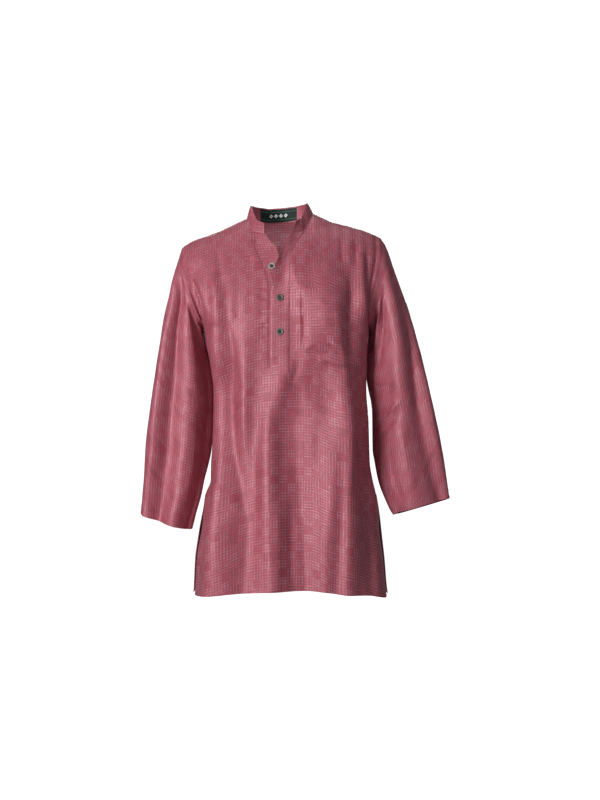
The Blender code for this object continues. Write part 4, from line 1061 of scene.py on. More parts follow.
@dataclass
class Sleeve:
    """A long set-in sleeve, sewn into its armhole and closed by a seam underneath.

    Away from its ends, its outer edge and front turn forward by its skew.
    """

    side: Side
    length: float = 650.0
    radius: float = 62.0
    rows: int = 176
    cloth: float = 0.9
    hem: float = 22.0
    hem_cloth: float = 1.9
    turn_in: float = 0.35
    seam_dip: float = 0.9
    seam_dip_width: float = 3.0
    seam_clear: float = 14.0
    cap_clear: float = 16.0
    cap_puff: float = 1.6
    cap_puff_at: float = 9.0
    cap_puff_width: float = 7.0
    cap_reach: float = 0.3
    cuff_reach: float = 0.3
    unevenness: float = 0.6
    skew: dict[Side, float] = pair(-19.0, -14.0)
    ripple_seed: dict[Side, int] = pair(8, 9)

    def section(self, along: Array, angles: Array) -> Array:
        """Places the sleeve's plain sections.

        Args:
            along: Places from the armhole (0) to the cuff (1), one for each section.
            angles: Angles round a section.

        Returns:
            A grid of points, one row for each section.
        """
        run, ends = SLEEVE_RUNS[self.side], []
        for name, edge in zip(("outer", "inner"), SLEEVE_EDGES[self.side]):
            z = run.read(name, along)
            ends.append(join(edge.read("x", z), 0 * z, z))
        middle, reach = (ends[0] + ends[1]) / 2, (ends[0] - ends[1]) / 2
        middle[:, 1] -= run.read("forward", along)
        forward = join(0 * along, -run.read("depth", along), -run.read("dip", along))
        cosine, sine = np.cos(angles)[None, :, None], np.sin(angles)[None, :, None]
        points = middle[:, None] + cosine * reach[:, None] + sine * forward[:, None]
        skew = self.skew[self.side] * smooth(along / self.cap_reach) * smooth((1.0 - along) / self.cuff_reach)
        points[..., 1] += skew[:, None] * (cosine * smooth(1 + sine))[..., 0]
        return points

    def height(self, along: Array, angles: Array) -> Array:
        """Adds up the sleeve's folds, creases and seam dips.

        Args:
            along: Places down the sleeve, as a column.
            angles: Angles round it, as a row.

        Returns:
            How far the cloth is pushed out.
        """
        total = np.zeros((along + angles).shape)
        for one in SLEEVE_FOLDS[self.side]:
            away = (np.degrees(angles) - one.read("angle", along) + 180) % 360 - 180
            total = total + one.read("height", along) * bell(away, one.read("spread", along))
        across, down = angles * self.radius, along * self.length
        for one in SLEEVE_CREASES[self.side]:
            total = total + one.scaled(math.radians(1) * self.radius, self.length / 100).rise(across, down)
        under = (math.pi - np.abs(angles)) * self.radius
        small = ripple(across, down, self.ripple_seed[self.side], self.unevenness)
        total = total + small * smooth(under / self.seam_clear) * smooth(down / self.cap_clear)
        puff = self.cap_puff * bell(down - self.cap_puff_at, self.cap_puff_width)
        total = total + puff * smooth(under / 60.0)
        return total - self.seam_dip * bell(under, self.seam_dip_width) * smooth(down / 20.0)

    def shell(self, ring: Array) -> Shell:
        """Makes the sleeve's cloth.

        Args:
            ring: The armhole's points, from the armpit up the back and down the front.

        Returns:
            The sleeve as a strip of cloth whose two sides meet underneath.
        """
        tip = len(ring) // 2
        chord = ring[0] - ring[tip]
        share = np.clip((ring - ring[tip]) @ chord / (chord @ chord), 0.0, 1.0)
        angles = np.arccos(1 - 2 * share) * np.sign(np.arange(len(ring)) - tip)
        angles[0], angles[-1] = -math.pi, math.pi
        along = np.linspace(0, 1, self.rows + 1)
        fit = ring - self.section(np.zeros(1), angles)[0]
        points = self.section(along, angles) + fit[None] * (1 - smooth(along / self.cap_reach))[:, None, None]
        turned = self.side is Side.LEFT
        normals = grid_normals(points, turned)
        normals[:, 0] = normals[:, -1] = unit(normals[:, 0] + normals[:, -1])
        height = self.height(along[:, None], angles[None, :]) * smooth(along[:, None] * self.length / 10.0)
        points = points + normals * height[..., None]
        round_it, down = run_length(points, 1), run_length(points, 0)
        from_cuff = down[-1] - down
        hemmed, groove = hem_step(from_cuff, self.hem), bell(from_cuff - self.hem + 2.5, STITCH_GROOVE)
        points = points + normals * (self.turn_in * (hemmed - groove))[..., None]
        place = join(round_it - round_it[:, [tip]], down) * MM
        thickness = blend(self.cloth, self.hem_cloth, hemmed)
        return Shell("kurta_sleeve_" + self.side.value, points, place, thickness, turned)


# ---- front, back, collar and bands

@dataclass
class BodyHalf:
    """The front or the back: one piece of cloth from the shoulders to the hem."""

    grid: PanelGrid
    face: Face
    cloth: float = 0.9
    hem: float = 16.0
    hem_cloth: float = 1.8
    slit_hem: float = 9.0
    turn_in: float = 0.35

    def shell(self) -> Shell:
        """Makes the half's cloth, thicker where its hem and slit edges are turned in.

        Returns:
            The half's shell.
        """
        form, front = self.grid.form, self.face is Face.FRONT
        lay = self.grid.front() if front else self.grid.back()
        x, drop = lay[..., 0], lay[..., 1]
        points = form.surface(x, drop, self.face)
        across, down = run_length(points, 1), run_length(points, 0)
        from_hem = down[-1] - down
        from_side = from_ends(across)
        is_open = smooth((form.slit_top - points[..., 2]) / 6.0)
        hemmed = np.maximum(hem_step(from_hem, self.hem), hem_step(from_side, self.slit_hem) * is_open)
        groove = bell(from_side - self.slit_hem + 2.0, STITCH_GROOVE) * is_open
        groove = np.maximum(bell(from_hem - self.hem + 2.5, STITCH_GROOVE), groove)
        out = self.turn_in * (hemmed - groove)
        points = points + form.base_normal(x, drop, self.face) * out[..., None]
        place = join(form.girth_from_middle(x, drop, self.face), drop) * MM
        thickness = blend(self.cloth, self.hem_cloth, hemmed)
        kept = self.grid.slot() if front else None
        return Shell("kurta_" + self.face.value, points, place, thickness, not front, kept)


@dataclass
class Collar:
    """The band collar, which stands on the neck seam."""

    grid: PanelGrid
    cloth: float = 1.9
    rows: int = 18
    end_steps: int = 9
    bulge: float = 0.7
    edge_round: float = 0.7
    stitch_dip: float = 0.25
    unevenness: float = 0.3
    ripple_seed: int = 12
    corner: dict[Side, Place] = pair((-36.0, -42.0), (25.0, -47.0))
    lift: dict[Side, str] = pair("under_lift", "over_lift")
    top: SizeTable = SizeTable(
        "along right_left out_in rise",
        (0.0, -0.5, 6, 25), (0.09, 9, 8, 28), (0.25, 9.5, -3, 32.6), (0.5, 0, -4, 36),
        (0.75, -13.5, -3, 26), (0.91, -4, 6, 33), (1.0, 13, 5, 30),
    )

    def end(self, side: Side) -> Array:
        """Places the collar's front corner at the neck seam.

        Args:
            side: The wearer's side.

        Returns:
            One point.
        """
        x, z = self.corner[side]
        form = self.grid.form
        at = form.on_front(np.array([x]), z)[0]
        return at - np.array([0.0, float(form.placket.read(self.lift[side], z)), 0.0])

    def seam(self, front: Shell, back: Shell) -> Array:
        """Runs round the neck seam.

        Args:
            front: The front's cloth.
            back: The back's cloth.

        Returns:
            Points from the wearer's right front corner round the neck to the left one.
        """
        shoulder, neck = self.grid.shoulder_columns, self.grid.half_columns
        right = front.outer[0, shoulder : neck + 1][::-1]
        behind = back.outer[0, shoulder : shoulder + self.grid.back_neck_columns - 1]
        left = front.outer[0, -neck - 1 : -shoulder][::-1]
        t = np.linspace(0, 1, self.end_steps)[:, None]
        first = blend(self.end(Side.RIGHT), right[0], t[:-1])
        return np.concatenate([first, right, behind, left, blend(left[-1], self.end(Side.LEFT), t[1:])])

    def shell(self, front: Shell, back: Shell) -> Shell:
        """Makes the collar's cloth.

        Args:
            front: The front's cloth.
            back: The back's cloth.

        Returns:
            The collar's shell.
        """
        seam = self.seam(front, back)
        length = run_length(seam[:, None], 0)[:, 0]
        lift = join(*(self.top.read(name, length / length[-1]) for name in ("right_left", "out_in", "rise")))
        up = np.linspace(0, 1, self.rows + 1)[:, None]
        points = seam[None] + lift[None] * up[:, None]
        high = run_length(points, 0)
        length = length[None] + 0 * high
        from_edge = np.minimum(high[-1] - high, from_ends(length))
        round_off = self.edge_round * bell(from_edge, 1.6)
        uneven = ripple(length, high, self.ripple_seed, self.unevenness) * up
        swell = self.bulge * np.sin(math.pi * up) ** 0.7 + uneven
        out = swell - round_off - self.stitch_dip * bell(from_edge - 3.0, 1.0)
        points = points + grid_normals(points) * out[..., None]
        return Shell("kurta_collar", points, join(length, high) * MM, self.cloth - 0.6 * round_off)


@dataclass
class PlacketBand:
    """One of the placket's two bands, from its free edge to the edge that its seam holds."""

    form: BodyForm
    band: Band
    rows: int = 150
    columns: int = 22
    cloth: float = 1.3
    tuck: float = 3.0
    over_out: float = 1.55
    over_held: float = 0.6
    under_out: float = -1.7
    loose: float = 0.85
    edge_round: float = 0.55
    stitch_dip: float = 0.22
    unevenness: float = 0.35
    ripple_seed: dict[Band, int] = pair(22, 21, Band)
    pattern_at: float = 20.0

    @property
    def is_over(self) -> bool:
        """Says whether this is the over band."""
        return self.band is Band.OVER

    @property
    def side(self) -> Side:
        """Gives the side whose seam holds the band."""
        return Side.LEFT if self.is_over else Side.RIGHT

    def face(self, across: Array, z: Array) -> Array:
        """Places points on the band's outer face.

        Args:
            across: Places from the free edge (0) to the held edge (1).
            z: Heights.

        Returns:
            The points.
        """
        read, name = self.form.placket.read, self.band.value
        tuck = self.tuck if self.is_over else -self.tuck
        x = blend(read(name + "_edge", z), read(self.side.value, z) + tuck, across)
        out = self.under_out
        if self.is_over:
            out = blend(self.over_out, self.over_held, smooth((across - 0.90) / 0.10))
        points = self.form.on_front(x, z, out)
        points[..., 1] -= read(name + "_lift", z) * np.clip(1 - across / self.loose, 0.0, 1.0) ** 1.3
        return points

    def shell(self, collar: Collar) -> Shell:
        """Makes the band's cloth.

        Args:
            collar: The collar, under whose ends the band runs.

        Returns:
            The band's shell.
        """
        across = np.linspace(0, 1, self.columns + 1)[None, :]
        down = np.linspace(0, 1, self.rows + 1)[:, None]
        head = blend(collar.corner[self.side][1], collar.grid.seam_head[self.side], across)
        z = blend(head + 0.5, self.form.placket_foot - self.tuck, down)
        points = self.face(across + 0 * z, z)
        points = points if self.is_over else points[:, ::-1]
        length, width = run_length(points, 0), run_length(points, 1)
        from_edge = np.minimum(from_ends(width), length[-1] - length)
        round_off = self.edge_round * bell(from_edge, 1.3)
        small = ripple(width, length, self.ripple_seed[self.band], self.unevenness) * smooth(from_edge / 8.0)
        out = small - round_off - self.stitch_dip * bell(from_edge - 2.6, 0.9)
        points = points + grid_normals(points) * out[..., None]
        place = join(width - self.pattern_at, length) * MM
        return Shell("kurta_placket_" + self.band.value, points, place, self.cloth - 0.5 * round_off)


@dataclass
class ChestPocket:
    """The patch pocket: a quadrilateral of cloth that lies on the front."""

    form: BodyForm
    top: dict[Side, Place] = pair((55.0, -177.0), (152.0, -179.0))
    foot: dict[Side, Place] = pair((58.0, -316.0), (153.0, -327.0))
    rows: int = 72
    columns: int = 50
    cloth: float = 0.9
    out: float = 1.9
    top_hem: float = 18.0
    gape: float = 1.6
    step: float = 0.3
    edge_round: float = 0.6
    stitch_dip: float = 0.2
    pucker: float = 0.32
    fullness: float = 0.9
    pattern_at: Place = (0.0631, 0.1583)

    def shell(self) -> Shell:
        """Makes the pocket's cloth, a little loose at its mouth and puckered along its stitching.

        Returns:
            The pocket's shell.
        """
        t, s = np.linspace(0, 1, self.rows + 1)[:, None], np.linspace(0, 1, self.columns + 1)[None, :]
        corners = [np.array(row[side]) for row in (self.top, self.foot) for side in Side]
        lay = blend(blend(*corners[:2], s[..., None]), blend(*corners[2:], s[..., None]), t[..., None])
        x, z = lay[..., 0], lay[..., 1]
        wide, tall = corners[1][0] - corners[0][0], corners[0][1] - corners[2][1]
        from_side, from_foot = np.minimum(s, 1 - s) * wide + 0 * t, (1 - t) * tall + 0 * s
        from_sewn, from_top = np.minimum(from_side, from_foot), t * tall + 0 * s
        run = np.where(from_side < from_foot, z, x)
        gape = self.gape * np.sin(math.pi * s) * (1 - smooth(t / 0.5))
        hemmed = self.step * smooth((self.top_hem + 0.8 - from_top) / 1.2)
        groove = 1.1 * bell(from_top - self.top_hem + 2.0, 1.0) + bell(from_sewn - 2.4, 0.9)
        groove = self.stitch_dip * groove
        round_off = self.edge_round * bell(np.minimum(from_sewn, from_top), 1.3)
        pucker = self.pucker * np.sin(run / 2.1 + 1.7 * np.sin(run / 13.0)) * bell(from_sewn - 4.5, 3.0)
        swell = self.fullness * smooth(from_sewn / 16.0)
        points = self.form.on_front(x, z, self.out + gape + hemmed - groove - round_off + pucker + swell)
        place = join(run_length(points, 1), run_length(points, 0)) * MM + np.array(self.pattern_at)
        return Shell("kurta_chest_pocket", points, place, self.cloth)


@dataclass
class NeckLabel:
    """The woven label, which lies on the inside of the collar's back."""

    right: float = -48.0
    left: float = 40.0
    foot: float = 0.05
    top: float = 0.93
    rows: int = 16
    columns: int = 44
    cloth: float = 0.45
    gap: float = 0.35
    edge_round: float = 0.3

    def shell(self, collar: Shell) -> Shell:
        """Makes the label.

        Args:
            collar: The collar's shell, with its back in the middle of its columns.

        Returns:
            The label's shell.
        """
        inside = collar.outer - collar.normals * np.asarray(collar.thickness)[..., None]
        middle = slice(inside.shape[1] // 4, -inside.shape[1] // 4)
        inside, out = inside[:, middle], -collar.normals[:, middle]
        across = np.linspace(self.right, self.left, self.columns + 1)
        up = np.linspace(self.foot, self.top, self.rows + 1) * (len(inside) - 1)
        row = np.minimum(up.astype(int), len(inside) - 2)

        def at(grid: Array) -> Array:
            """Reads a grid of the collar's inside at the label's own points.

            Args:
                grid: Values at the collar's points.

            Returns:
                Values at the label's points.
            """
            pairs = zip(inside[..., 0], grid)
            lines = [join(*(np.interp(across, x, part) for part in values.T)) for x, values in pairs]
            return blend(np.array(lines)[row], np.array(lines)[row + 1], (up - row)[:, None, None])

        outward = unit(at(out))
        points = at(inside) + outward * (self.gap + self.cloth)
        wide, high = run_length(points, 1), run_length(points, 0)
        from_edge = np.minimum(from_ends(wide), from_ends(high.T).T)
        points = points - outward * (self.edge_round * bell(from_edge, 0.9))[..., None]
        place = join(wide - wide[:, [-1]] / 2, high - high[-1] / 2) * MM
        return Shell("kurta_neck_label", points, place, self.cloth, True)


# ---- buttons


def tube(path: Array, radius: float, sides: int = 8, closed: bool = False) -> tuple[Array, Array]:
    """Makes a round tube along a path.

    Args:
        path: The middle line's points.
        radius: The tube's radius.
        sides: How many sides it has.
        closed: Whether the path joins up with itself.

    Returns:
        The tube's points and the faces between them, which leave its two ends open.
    """
    if closed:
        ahead = unit(np.roll(path, -1, axis=0) - np.roll(path, 1, axis=0))
    else:
        ahead = unit(np.gradient(path, axis=0))
    guide = [0.0, -1.0, 0.0] if abs(ahead[0][1]) < 0.9 else [1.0, 0.0, 0.0]
    beside = unit(np.cross(np.tile(guide, (len(path), 1)), ahead))
    up = np.cross(ahead, beside)
    turn = circle(sides)[None, :, None]
    points = path[:, None] + radius * (np.cos(turn) * beside[:, None] + np.sin(turn) * up[:, None])
    next_ring = (np.arange(len(path)) + 1) % len(path)
    return points.reshape(-1, 3), skin(len(path) if closed else len(path) - 1, sides, next_ring)


def link_edited(name: str, mesh: bmesh.types.BMesh) -> Piece:
    """Puts an edited mesh into the scene as an object and frees the edited one.

    Args:
        name: The object's name.
        mesh: The edited mesh, in metres.

    Returns:
        The object.
    """
    data = bpy.data.meshes.new(name)
    mesh.to_mesh(data)
    mesh.free()
    return link(name, data)


@dataclass
class Button:
    """A round shirt button with a raised rim, four holes and crossing threads."""

    radius: float = 8.2
    thickness: float = 3.0
    seat: float = 0.3
    hole_radius: float = 0.95
    hole_apart: float = 1.75
    hole_sides: int = 20
    sides: int = 64
    thread: float = 0.42
    strand_apart: float = 0.3
    strand_tail: float = 1.4
    strand_bow: float = 0.95
    strand_over: float = 0.35
    profile: tuple[Place, ...] = (
        (0.0, 0.56), (0.30, 0.55), (0.46, 0.56), (0.56, 0.62), (0.63, 0.80), (0.70, 0.93), (0.80, 1.0),
        (0.89, 0.97), (0.96, 0.82), (1.0, 0.55), (0.97, 0.26), (0.86, 0.05), (0.70, 0.0), (0.0, 0.0),
    )

    def body(self, finish: Finish) -> Piece:
        """Turns the button's body and drills its holes.

        Args:
            finish: The button's material.

        Returns:
            One object, lying level at the origin with its face up.
        """
        mesh, rings = bmesh.new(), []
        for share, height in self.profile:
            reach, high = share * self.radius * MM, height * self.thickness * MM
            turn = circle(self.sides if share else 1)
            rings.append([mesh.verts.new((reach * math.cos(t), reach * math.sin(t), high)) for t in turn])
        for lower, upper in zip(rings, rings[1:]):
            for k in range(self.sides):
                n = (k + 1) % self.sides
                near = [lower[k % len(lower)], lower[n % len(lower)]]
                far = [upper[n % len(upper)], upper[k % len(upper)]]
                mesh.faces.new(list(dict.fromkeys(near + far)))
        bmesh.ops.recalc_face_normals(mesh, faces=mesh.faces)
        blank, drill = link_edited("button_body", mesh), self._drill()
        cut = blank.modifiers.new("holes", "BOOLEAN")
        cut.operation, cut.solver, cut.object = "DIFFERENCE", "EXACT", drill
        bpy.context.view_layer.update()
        drilled = bpy.data.meshes.new_from_object(blank.evaluated_get(bpy.context.evaluated_depsgraph_get()))
        for spare in (blank, drill):
            bpy.data.objects.remove(spare, do_unlink=True)
        drilled.materials.clear()
        drilled.materials.append(finish)
        place = np.array([drilled.vertices[loop.vertex_index].co[:2] for loop in drilled.loops], np.float32)
        drilled.uv_layers.new(name="cloth_grain").data.foreach_set("uv", place.ravel())
        drilled.shade_smooth()
        drilled.set_sharp_from_angle(angle=math.radians(40))
        return link("button", drilled)

    def _drill(self) -> Piece:
        """Makes the four rods that cut the holes.

        Returns:
            The rods, as one object.
        """
        mesh, radius = bmesh.new(), self.hole_radius * MM
        rod = {"segments": self.hole_sides, "radius1": radius, "radius2": radius}
        rod["depth"] = 3 * self.thickness * MM
        for x in (-1, 1):
            for y in (-1, 1):
                made = bmesh.ops.create_cone(mesh, cap_ends=True, **rod)
                place = (x * self.hole_apart * MM, y * self.hole_apart * MM, 0.0)
                bmesh.ops.translate(mesh, vec=place, verts=made["verts"])
        return link_edited("button_drill", mesh)

    def threads(self, finish: Finish) -> Piece:
        """Crosses two threads over the button's face, down through its holes.

        Args:
            finish: The thread's material.

        Returns:
            One object, placed as the body is.
        """
        points, faces, count = [], [], 0
        turn = np.linspace(0, math.pi, 15)
        face = self.profile[0][1] * self.thickness
        for lean, rise in ((1, 0.0), (-1, self.strand_over)):
            out = -np.cos(turn) * self.hole_apart
            path = join(out, lean * out, face - 0.5 + (self.strand_bow + rise) * np.sin(turn))
            path = np.concatenate([path[:1], path, path[-1:]])
            path[[0, -1], 2] -= self.strand_tail
            for shift in (-self.strand_apart, self.strand_apart):
                made, around = tube(path + [shift * lean, -shift, 0.0], self.thread)
                points.append(made)
                faces.append(around + count)
                count += len(made)
        return place_mesh("button_threads", np.concatenate(points), np.concatenate(faces), finish)

    def sewn_at(self, name: str, at: Array, out: Array, horn: Finish, thread: Finish) -> list[Piece]:
        """Sews the button on.

        Args:
            name: The button's name.
            at: The middle of its back.
            out: The way its face points.
            horn: The button's material.
            thread: The thread's material.

        Returns:
            The button and its threads.
        """
        turn = Vector(out).to_track_quat("Z", "Y").to_matrix().to_4x4()
        turn.translation = Vector((at + out * self.seat) * MM)
        made = [self.body(horn), self.threads(thread)]
        for piece, ending in zip(made, ("", "_threads")):
            piece.data.transform(turn)
            piece.name = name + ending
        return made


@dataclass(frozen=True)
class Buttonhole:
    """A worked buttonhole: a slit edged with close stitches and barred at both ends."""

    length: float = 19.0
    width: float = 1.9
    thread: float = 0.62
    sunk: float = 0.15
    stitches: int = 56

    def work(self, name: str, band: PlacketBand, across: float, z: float, finish: Finish) -> Piece:
        """Works the buttonhole into a band.

        Args:
            name: Its name.
            band: The band.
            across: Its place across the band.
            z: The height of its middle.
            finish: The thread's material.

        Returns:
            The edging, as one object.
        """
        turn, half = circle(self.stitches), self.length / 2
        side = np.cos(turn) * self.width / 2
        rise = np.clip(np.sin(turn) * half * 1.12, -half, half)
        middle = band.face(np.array([across, across + 0.1]), np.array([z, z]))
        step = 0.1 / np.linalg.norm(middle[1] - middle[0])
        path = band.face(across + side * step, z + rise)
        path[:, 1] -= self.sunk
        return place_mesh(name, *tube(path, self.thread, closed=True), finish)


# ---- finishes


def operator(operation: str, swapped: bool = False) -> Callable[..., "Signal"]:
    """Makes a method that works on a signal with one Math node.

    Args:
        operation: The node's operation.
        swapped: Whether the signal itself comes last.

    Returns:
        The method.
    """

    def method(self: "Signal", *others: Any) -> "Signal":
        """Gives the operation's result for the signal and the numbers or signals given with it."""
        values = dict(enumerate((*others, self) if swapped else (self, *others)))
        return self.graph.signal("Math", {"operation": operation}, values)

    return method


@dataclass(frozen=True)
class Signal:
    """A number that varies over a surface. Sums on it add Math nodes."""

    graph: "ShaderGraph"
    socket: bpy.types.NodeSocket

    __add__ = __radd__ = operator("ADD")
    __sub__ = operator("SUBTRACT")
    __rsub__ = operator("SUBTRACT", swapped=True)
    __mul__ = __rmul__ = operator("MULTIPLY")
    __truediv__ = operator("DIVIDE")
    __pow__ = operator("POWER")
    __abs__ = operator("ABSOLUTE")
    sine = operator("SINE")
    below = operator("LESS_THAN")
    fraction = operator("FRACT")
    whole = operator("FLOOR")

    def clear_of(self, limit: float, width: float) -> "Signal":
        """Rises from 0 at a limit to 1 a width beyond it."""
        sockets = {0: self, 1: limit, 2: limit + width, 3: 0.0, 4: 1.0}
        return self.graph.signal("MapRange", {"interpolation_type": "SMOOTHSTEP"}, sockets)


class ShaderGraph:
    """A material under construction."""

    def __init__(self, name: str) -> None:
        """Starts an empty material.

        Args:
            name: The material's name.
        """
        self.material = bpy.data.materials.new(name)
        self.material.use_nodes = True
        self.tree = self.material.node_tree
        self.tree.nodes.clear()

    def node(self, kind: str, settings: dict[str, Any], sockets: dict[Any, Any]) -> bpy.types.Node:
        """Adds a node.

        Args:
            kind: The node's type, without its ShaderNode prefix.
            settings: The node's own settings, set first.
            sockets: A value or a link for each input, by name or number.

        Returns:
            The node.
        """
        made = self.tree.nodes.new("ShaderNode" + kind)
        for name, value in settings.items():
            setattr(made, name, value)
        for key, value in sockets.items():
            value = value.socket if isinstance(value, Signal) else value
            if isinstance(value, bpy.types.NodeSocket):
                self.tree.links.new(value, made.inputs[key])
            elif isinstance(value, tuple) and len(made.inputs[key].default_value) == 4:
                made.inputs[key].default_value = (*value, 1.0)
            else:
                made.inputs[key].default_value = value
        return made

    def signal(self, kind: str, settings: dict[str, Any], sockets: dict[Any, Any]) -> Signal:
        """Adds a node and gives its first output."""
        return Signal(self, self.node(kind, settings, sockets).outputs[0])

    def cloth_place(self) -> tuple[Signal, ...]:
        """Reads the place on the cloth, in metres across and along its threads."""
        place = self.signal("UVMap", {"uv_map": "cloth_grain"}, {})
        return tuple(Signal(self, part) for part in self.node("SeparateXYZ", {}, {0: place}).outputs[:2])

    def at(self, x: Any, y: Any, z: Any = 0.0) -> bpy.types.NodeSocket:
        """Joins three numbers into a place."""
        return self.node("CombineXYZ", {}, {0: x, 1: y, 2: z}).outputs[0]

    def scaled(self, value: Any, scale: Any) -> bpy.types.NodeSocket:
        """Scales a place, or makes a colour lighter or darker."""
        return self.node("VectorMath", {"operation": "SCALE"}, {0: value, "Scale": scale}).outputs[0]

    def solid_place(self, scale: float) -> bpy.types.NodeSocket:
        """Reads the place in space, with a number of units to a metre."""
        return self.scaled(self.node("TexCoord", {}, {}).outputs["Object"], scale)

    def noise(self, place: Any, detail: float = 2.0, roughness: float = 0.5) -> Signal:
        """Adds noise around 0.5, one swell to a unit, with some finer layers and how strong those are."""
        sockets = {"Vector": place, "Scale": 1.0, "Detail": detail, "Roughness": roughness}
        return self.signal("TexNoise", {}, sockets)

    def chance(self, x: Any, y: Any) -> Signal:
        """Gives each place its own even chance from 0 to 1."""
        return self.signal("TexWhiteNoise", {}, {"Vector": self.at(x, y)})

    def mix(self, a: Any, b: Any, share: Any) -> bpy.types.NodeSocket:
        """Mixes two colours by the share of the second."""
        return self.node("Mix", {"data_type": "RGBA"}, {0: share, 6: a, 7: b}).outputs[2]

    def finish(self, height: Any, distance: float, strength: float, **sockets: Any) -> Finish:
        """Ends the material with a surface and its relief.

        Args:
            height: The relief, from 0 to about 1.
            distance: How deep a relief of 1 is, in metres.
            strength: How strongly the relief bends the light.
            sockets: The surface's sockets, with _ for each space in a name.

        Returns:
            The material.
        """
        bump = self.node("Bump", {}, {"Height": height, "Distance": distance, "Strength": strength})
        named = {key.replace("_", " "): value for key, value in sockets.items()}
        surface = self.node("BsdfPrincipled", {}, {**named, "Normal": bump.outputs[0]})
        self.node("OutputMaterial", {}, {0: surface.outputs[0]})
        return self.material


@dataclass(frozen=True)
class BoxWeaveCloth:
    """Silk and cotton cloth: a fine pale grid on rose, closer and greyer in every other square."""

    name: str = "rose_box_weave"
    rose: Colour = (0.390, 0.064, 0.097)
    smoky: Colour = (0.310, 0.064, 0.090)
    pale: Colour = (0.560, 0.190, 0.240)
    shine: Colour = (1.0, 0.60, 0.66)
    fuzz: Colour = (0.95, 0.62, 0.66)
    cell: float = 0.0064
    square: float = 0.0192
    thread: float = 0.0008
    faint: float = 0.50
    strong: float = 0.80
    relief: float = 0.00028
    sheen: float = 0.05

    def _wander(self, graph: ShaderGraph, along: Signal, across: Signal, seed: float) -> Signal:
        """Shifts the threads a little, as hand weaving does, each direction by its own seed."""
        place = graph.at(along * 28.0, across * 70.0, seed)
        return (graph.noise(place, 1.0) - 0.5) * (0.55 * self.cell)

    def _line(self, place: Signal, pitch: float) -> Signal:
        """Draws soft lines at a pitch, 1 in their middle."""
        wave = (place * (TURN / pitch)).sine()
        return (wave * 0.5 + 0.5) ** 2.6

    def make(self) -> Finish:
        """Makes the material.

        Returns:
            The material.
        """
        graph = ShaderGraph(self.name)
        u, v = graph.cloth_place()
        warp = u + self._wander(graph, v, u, 1.7)
        weft = v + self._wander(graph, u, v, 6.1)
        half_turn = math.pi / self.square
        check = (warp * half_turn).sine() * (weft * half_turn).sine()
        check = check.clear_of(-0.06, 0.12)
        column, row = (warp / self.square).whole(), (weft / self.square).whole()
        chance = graph.chance(column, row)
        bare = graph.chance(column + 0.5, row + 3.5)
        uneven = graph.noise(graph.at(u * 120.0, v * 170.0, 3.0), 4.0, 0.7)
        depth = (check * (self.strong - self.faint) + self.faint) * (uneven * 0.9 + 0.55)
        upright = self._line(warp, self.cell) * (chance.clear_of(0.12, 0.3) * 0.75 + 0.25)
        level = self._line(weft, self.cell) * (bare.clear_of(0.12, 0.3) * 0.8 + 0.2)
        lines = 1 - (1 - upright * depth) * (1 - level * depth)
        along_warp = graph.noise(graph.at(u * 1500.0, v * 45.0, 0.0), 2.0, 0.6)
        along_weft = graph.noise(graph.at(u * 45.0, v * 1500.0, 5.0), 2.0, 0.6)
        streak = along_warp * 0.5 + along_weft * 0.5
        broad = graph.noise(graph.at(u * 7.0, v * 5.0, 9.0), 2.0)
        ground = graph.mix(self.rose, self.smoky, check * 0.8 + chance * 0.2)
        colour = graph.mix(ground, self.pale, lines)
        tone = 0.92 + (streak - 0.5) * 0.5 + (broad - 0.5) * 0.16 + (uneven - 0.5) * 0.75
        over = (u * (TURN / self.thread)).sine() * (v * (TURN / self.thread)).sine()
        return graph.finish(
            lines * 0.5 + over * 0.16 + streak * 0.5,
            self.relief,
            0.8,
            Base_Color=graph.scaled(colour, tone),
            Roughness=0.50 - lines * 0.16 + (streak - 0.5) * 0.2,
            Specular_IOR_Level=0.85,
            Specular_Tint=self.shine,
            Sheen_Weight=self.sheen,
            Sheen_Roughness=0.45,
            Sheen_Tint=self.fuzz,
        )


@dataclass(frozen=True)
class SewingThread:
    """Twisted cotton thread."""

    name: str
    colour: Colour
    light: Colour
    ply: float = 1500.0
    patch: float = 60.0
    relief: float = 0.0002

    def make(self) -> Finish:
        """Makes the material.

        Returns:
            The material.
        """
        graph = ShaderGraph(self.name)
        ply = graph.noise(graph.solid_place(self.ply), 2.0, 0.6)
        patch = graph.noise(graph.solid_place(self.patch), 2.0)
        colour = graph.mix(self.colour, self.light, ply.clear_of(0.35, 0.3))
        colour = graph.scaled(colour, 0.8 + patch * 0.4)
        roughness = 0.5 + ply * 0.2
        return graph.finish(ply, self.relief, 0.6, Base_Color=colour, Roughness=roughness, Sheen_Weight=0.1)


@dataclass(frozen=True)
class HornButton:
    """Half-polished horn: smoky and speckled, with a painted highlight: a paler ring towards the rim."""

    name: str
    dark: Colour
    pale: Colour
    # The colour of the pale flecks, and of the painted highlight round the rim.
    rim: Colour
    # How strongly the painted rim highlight shows.
    painted_rim_highlight: float
    relief: float = 0.00012

    def make(self) -> Finish:
        """Makes the material.

        Returns:
            The material.
        """
        graph = ShaderGraph(self.name)
        across, up = graph.cloth_place()
        from_middle = (across * across + up * up) ** 0.5
        smoke = graph.noise(graph.at(across * 300.0, up * 520.0, 2.0), 4.0, 0.62)
        speckle = graph.noise(graph.at(across * 1900.0, up * 1900.0, 4.0), 1.0)
        body = graph.mix(self.dark, self.pale, smoke.clear_of(0.36, 0.30))
        body = graph.mix(body, self.rim, speckle.clear_of(0.60, 0.10) * 0.55)
        # Painted highlight: a pale ring 4.5 to 7.2 mm from the middle stands for light caught on the rim.
        ring = from_middle.clear_of(0.0045, 0.0016) * (1 - from_middle.clear_of(0.0072, 0.0012))
        scratch = graph.noise(graph.at(across * 3000.0, up * 500.0, 8.0), 2.0)
        return graph.finish(
            smoke * 0.4 + scratch * 0.6,
            self.relief,
            0.5,
            Base_Color=graph.mix(body, self.rim, ring * (smoke * 0.7 + 0.4) * self.painted_rim_highlight),
            Roughness=0.26 + scratch * 0.22,
            Coat_Weight=0.35,
            Coat_Roughness=0.16,
        )


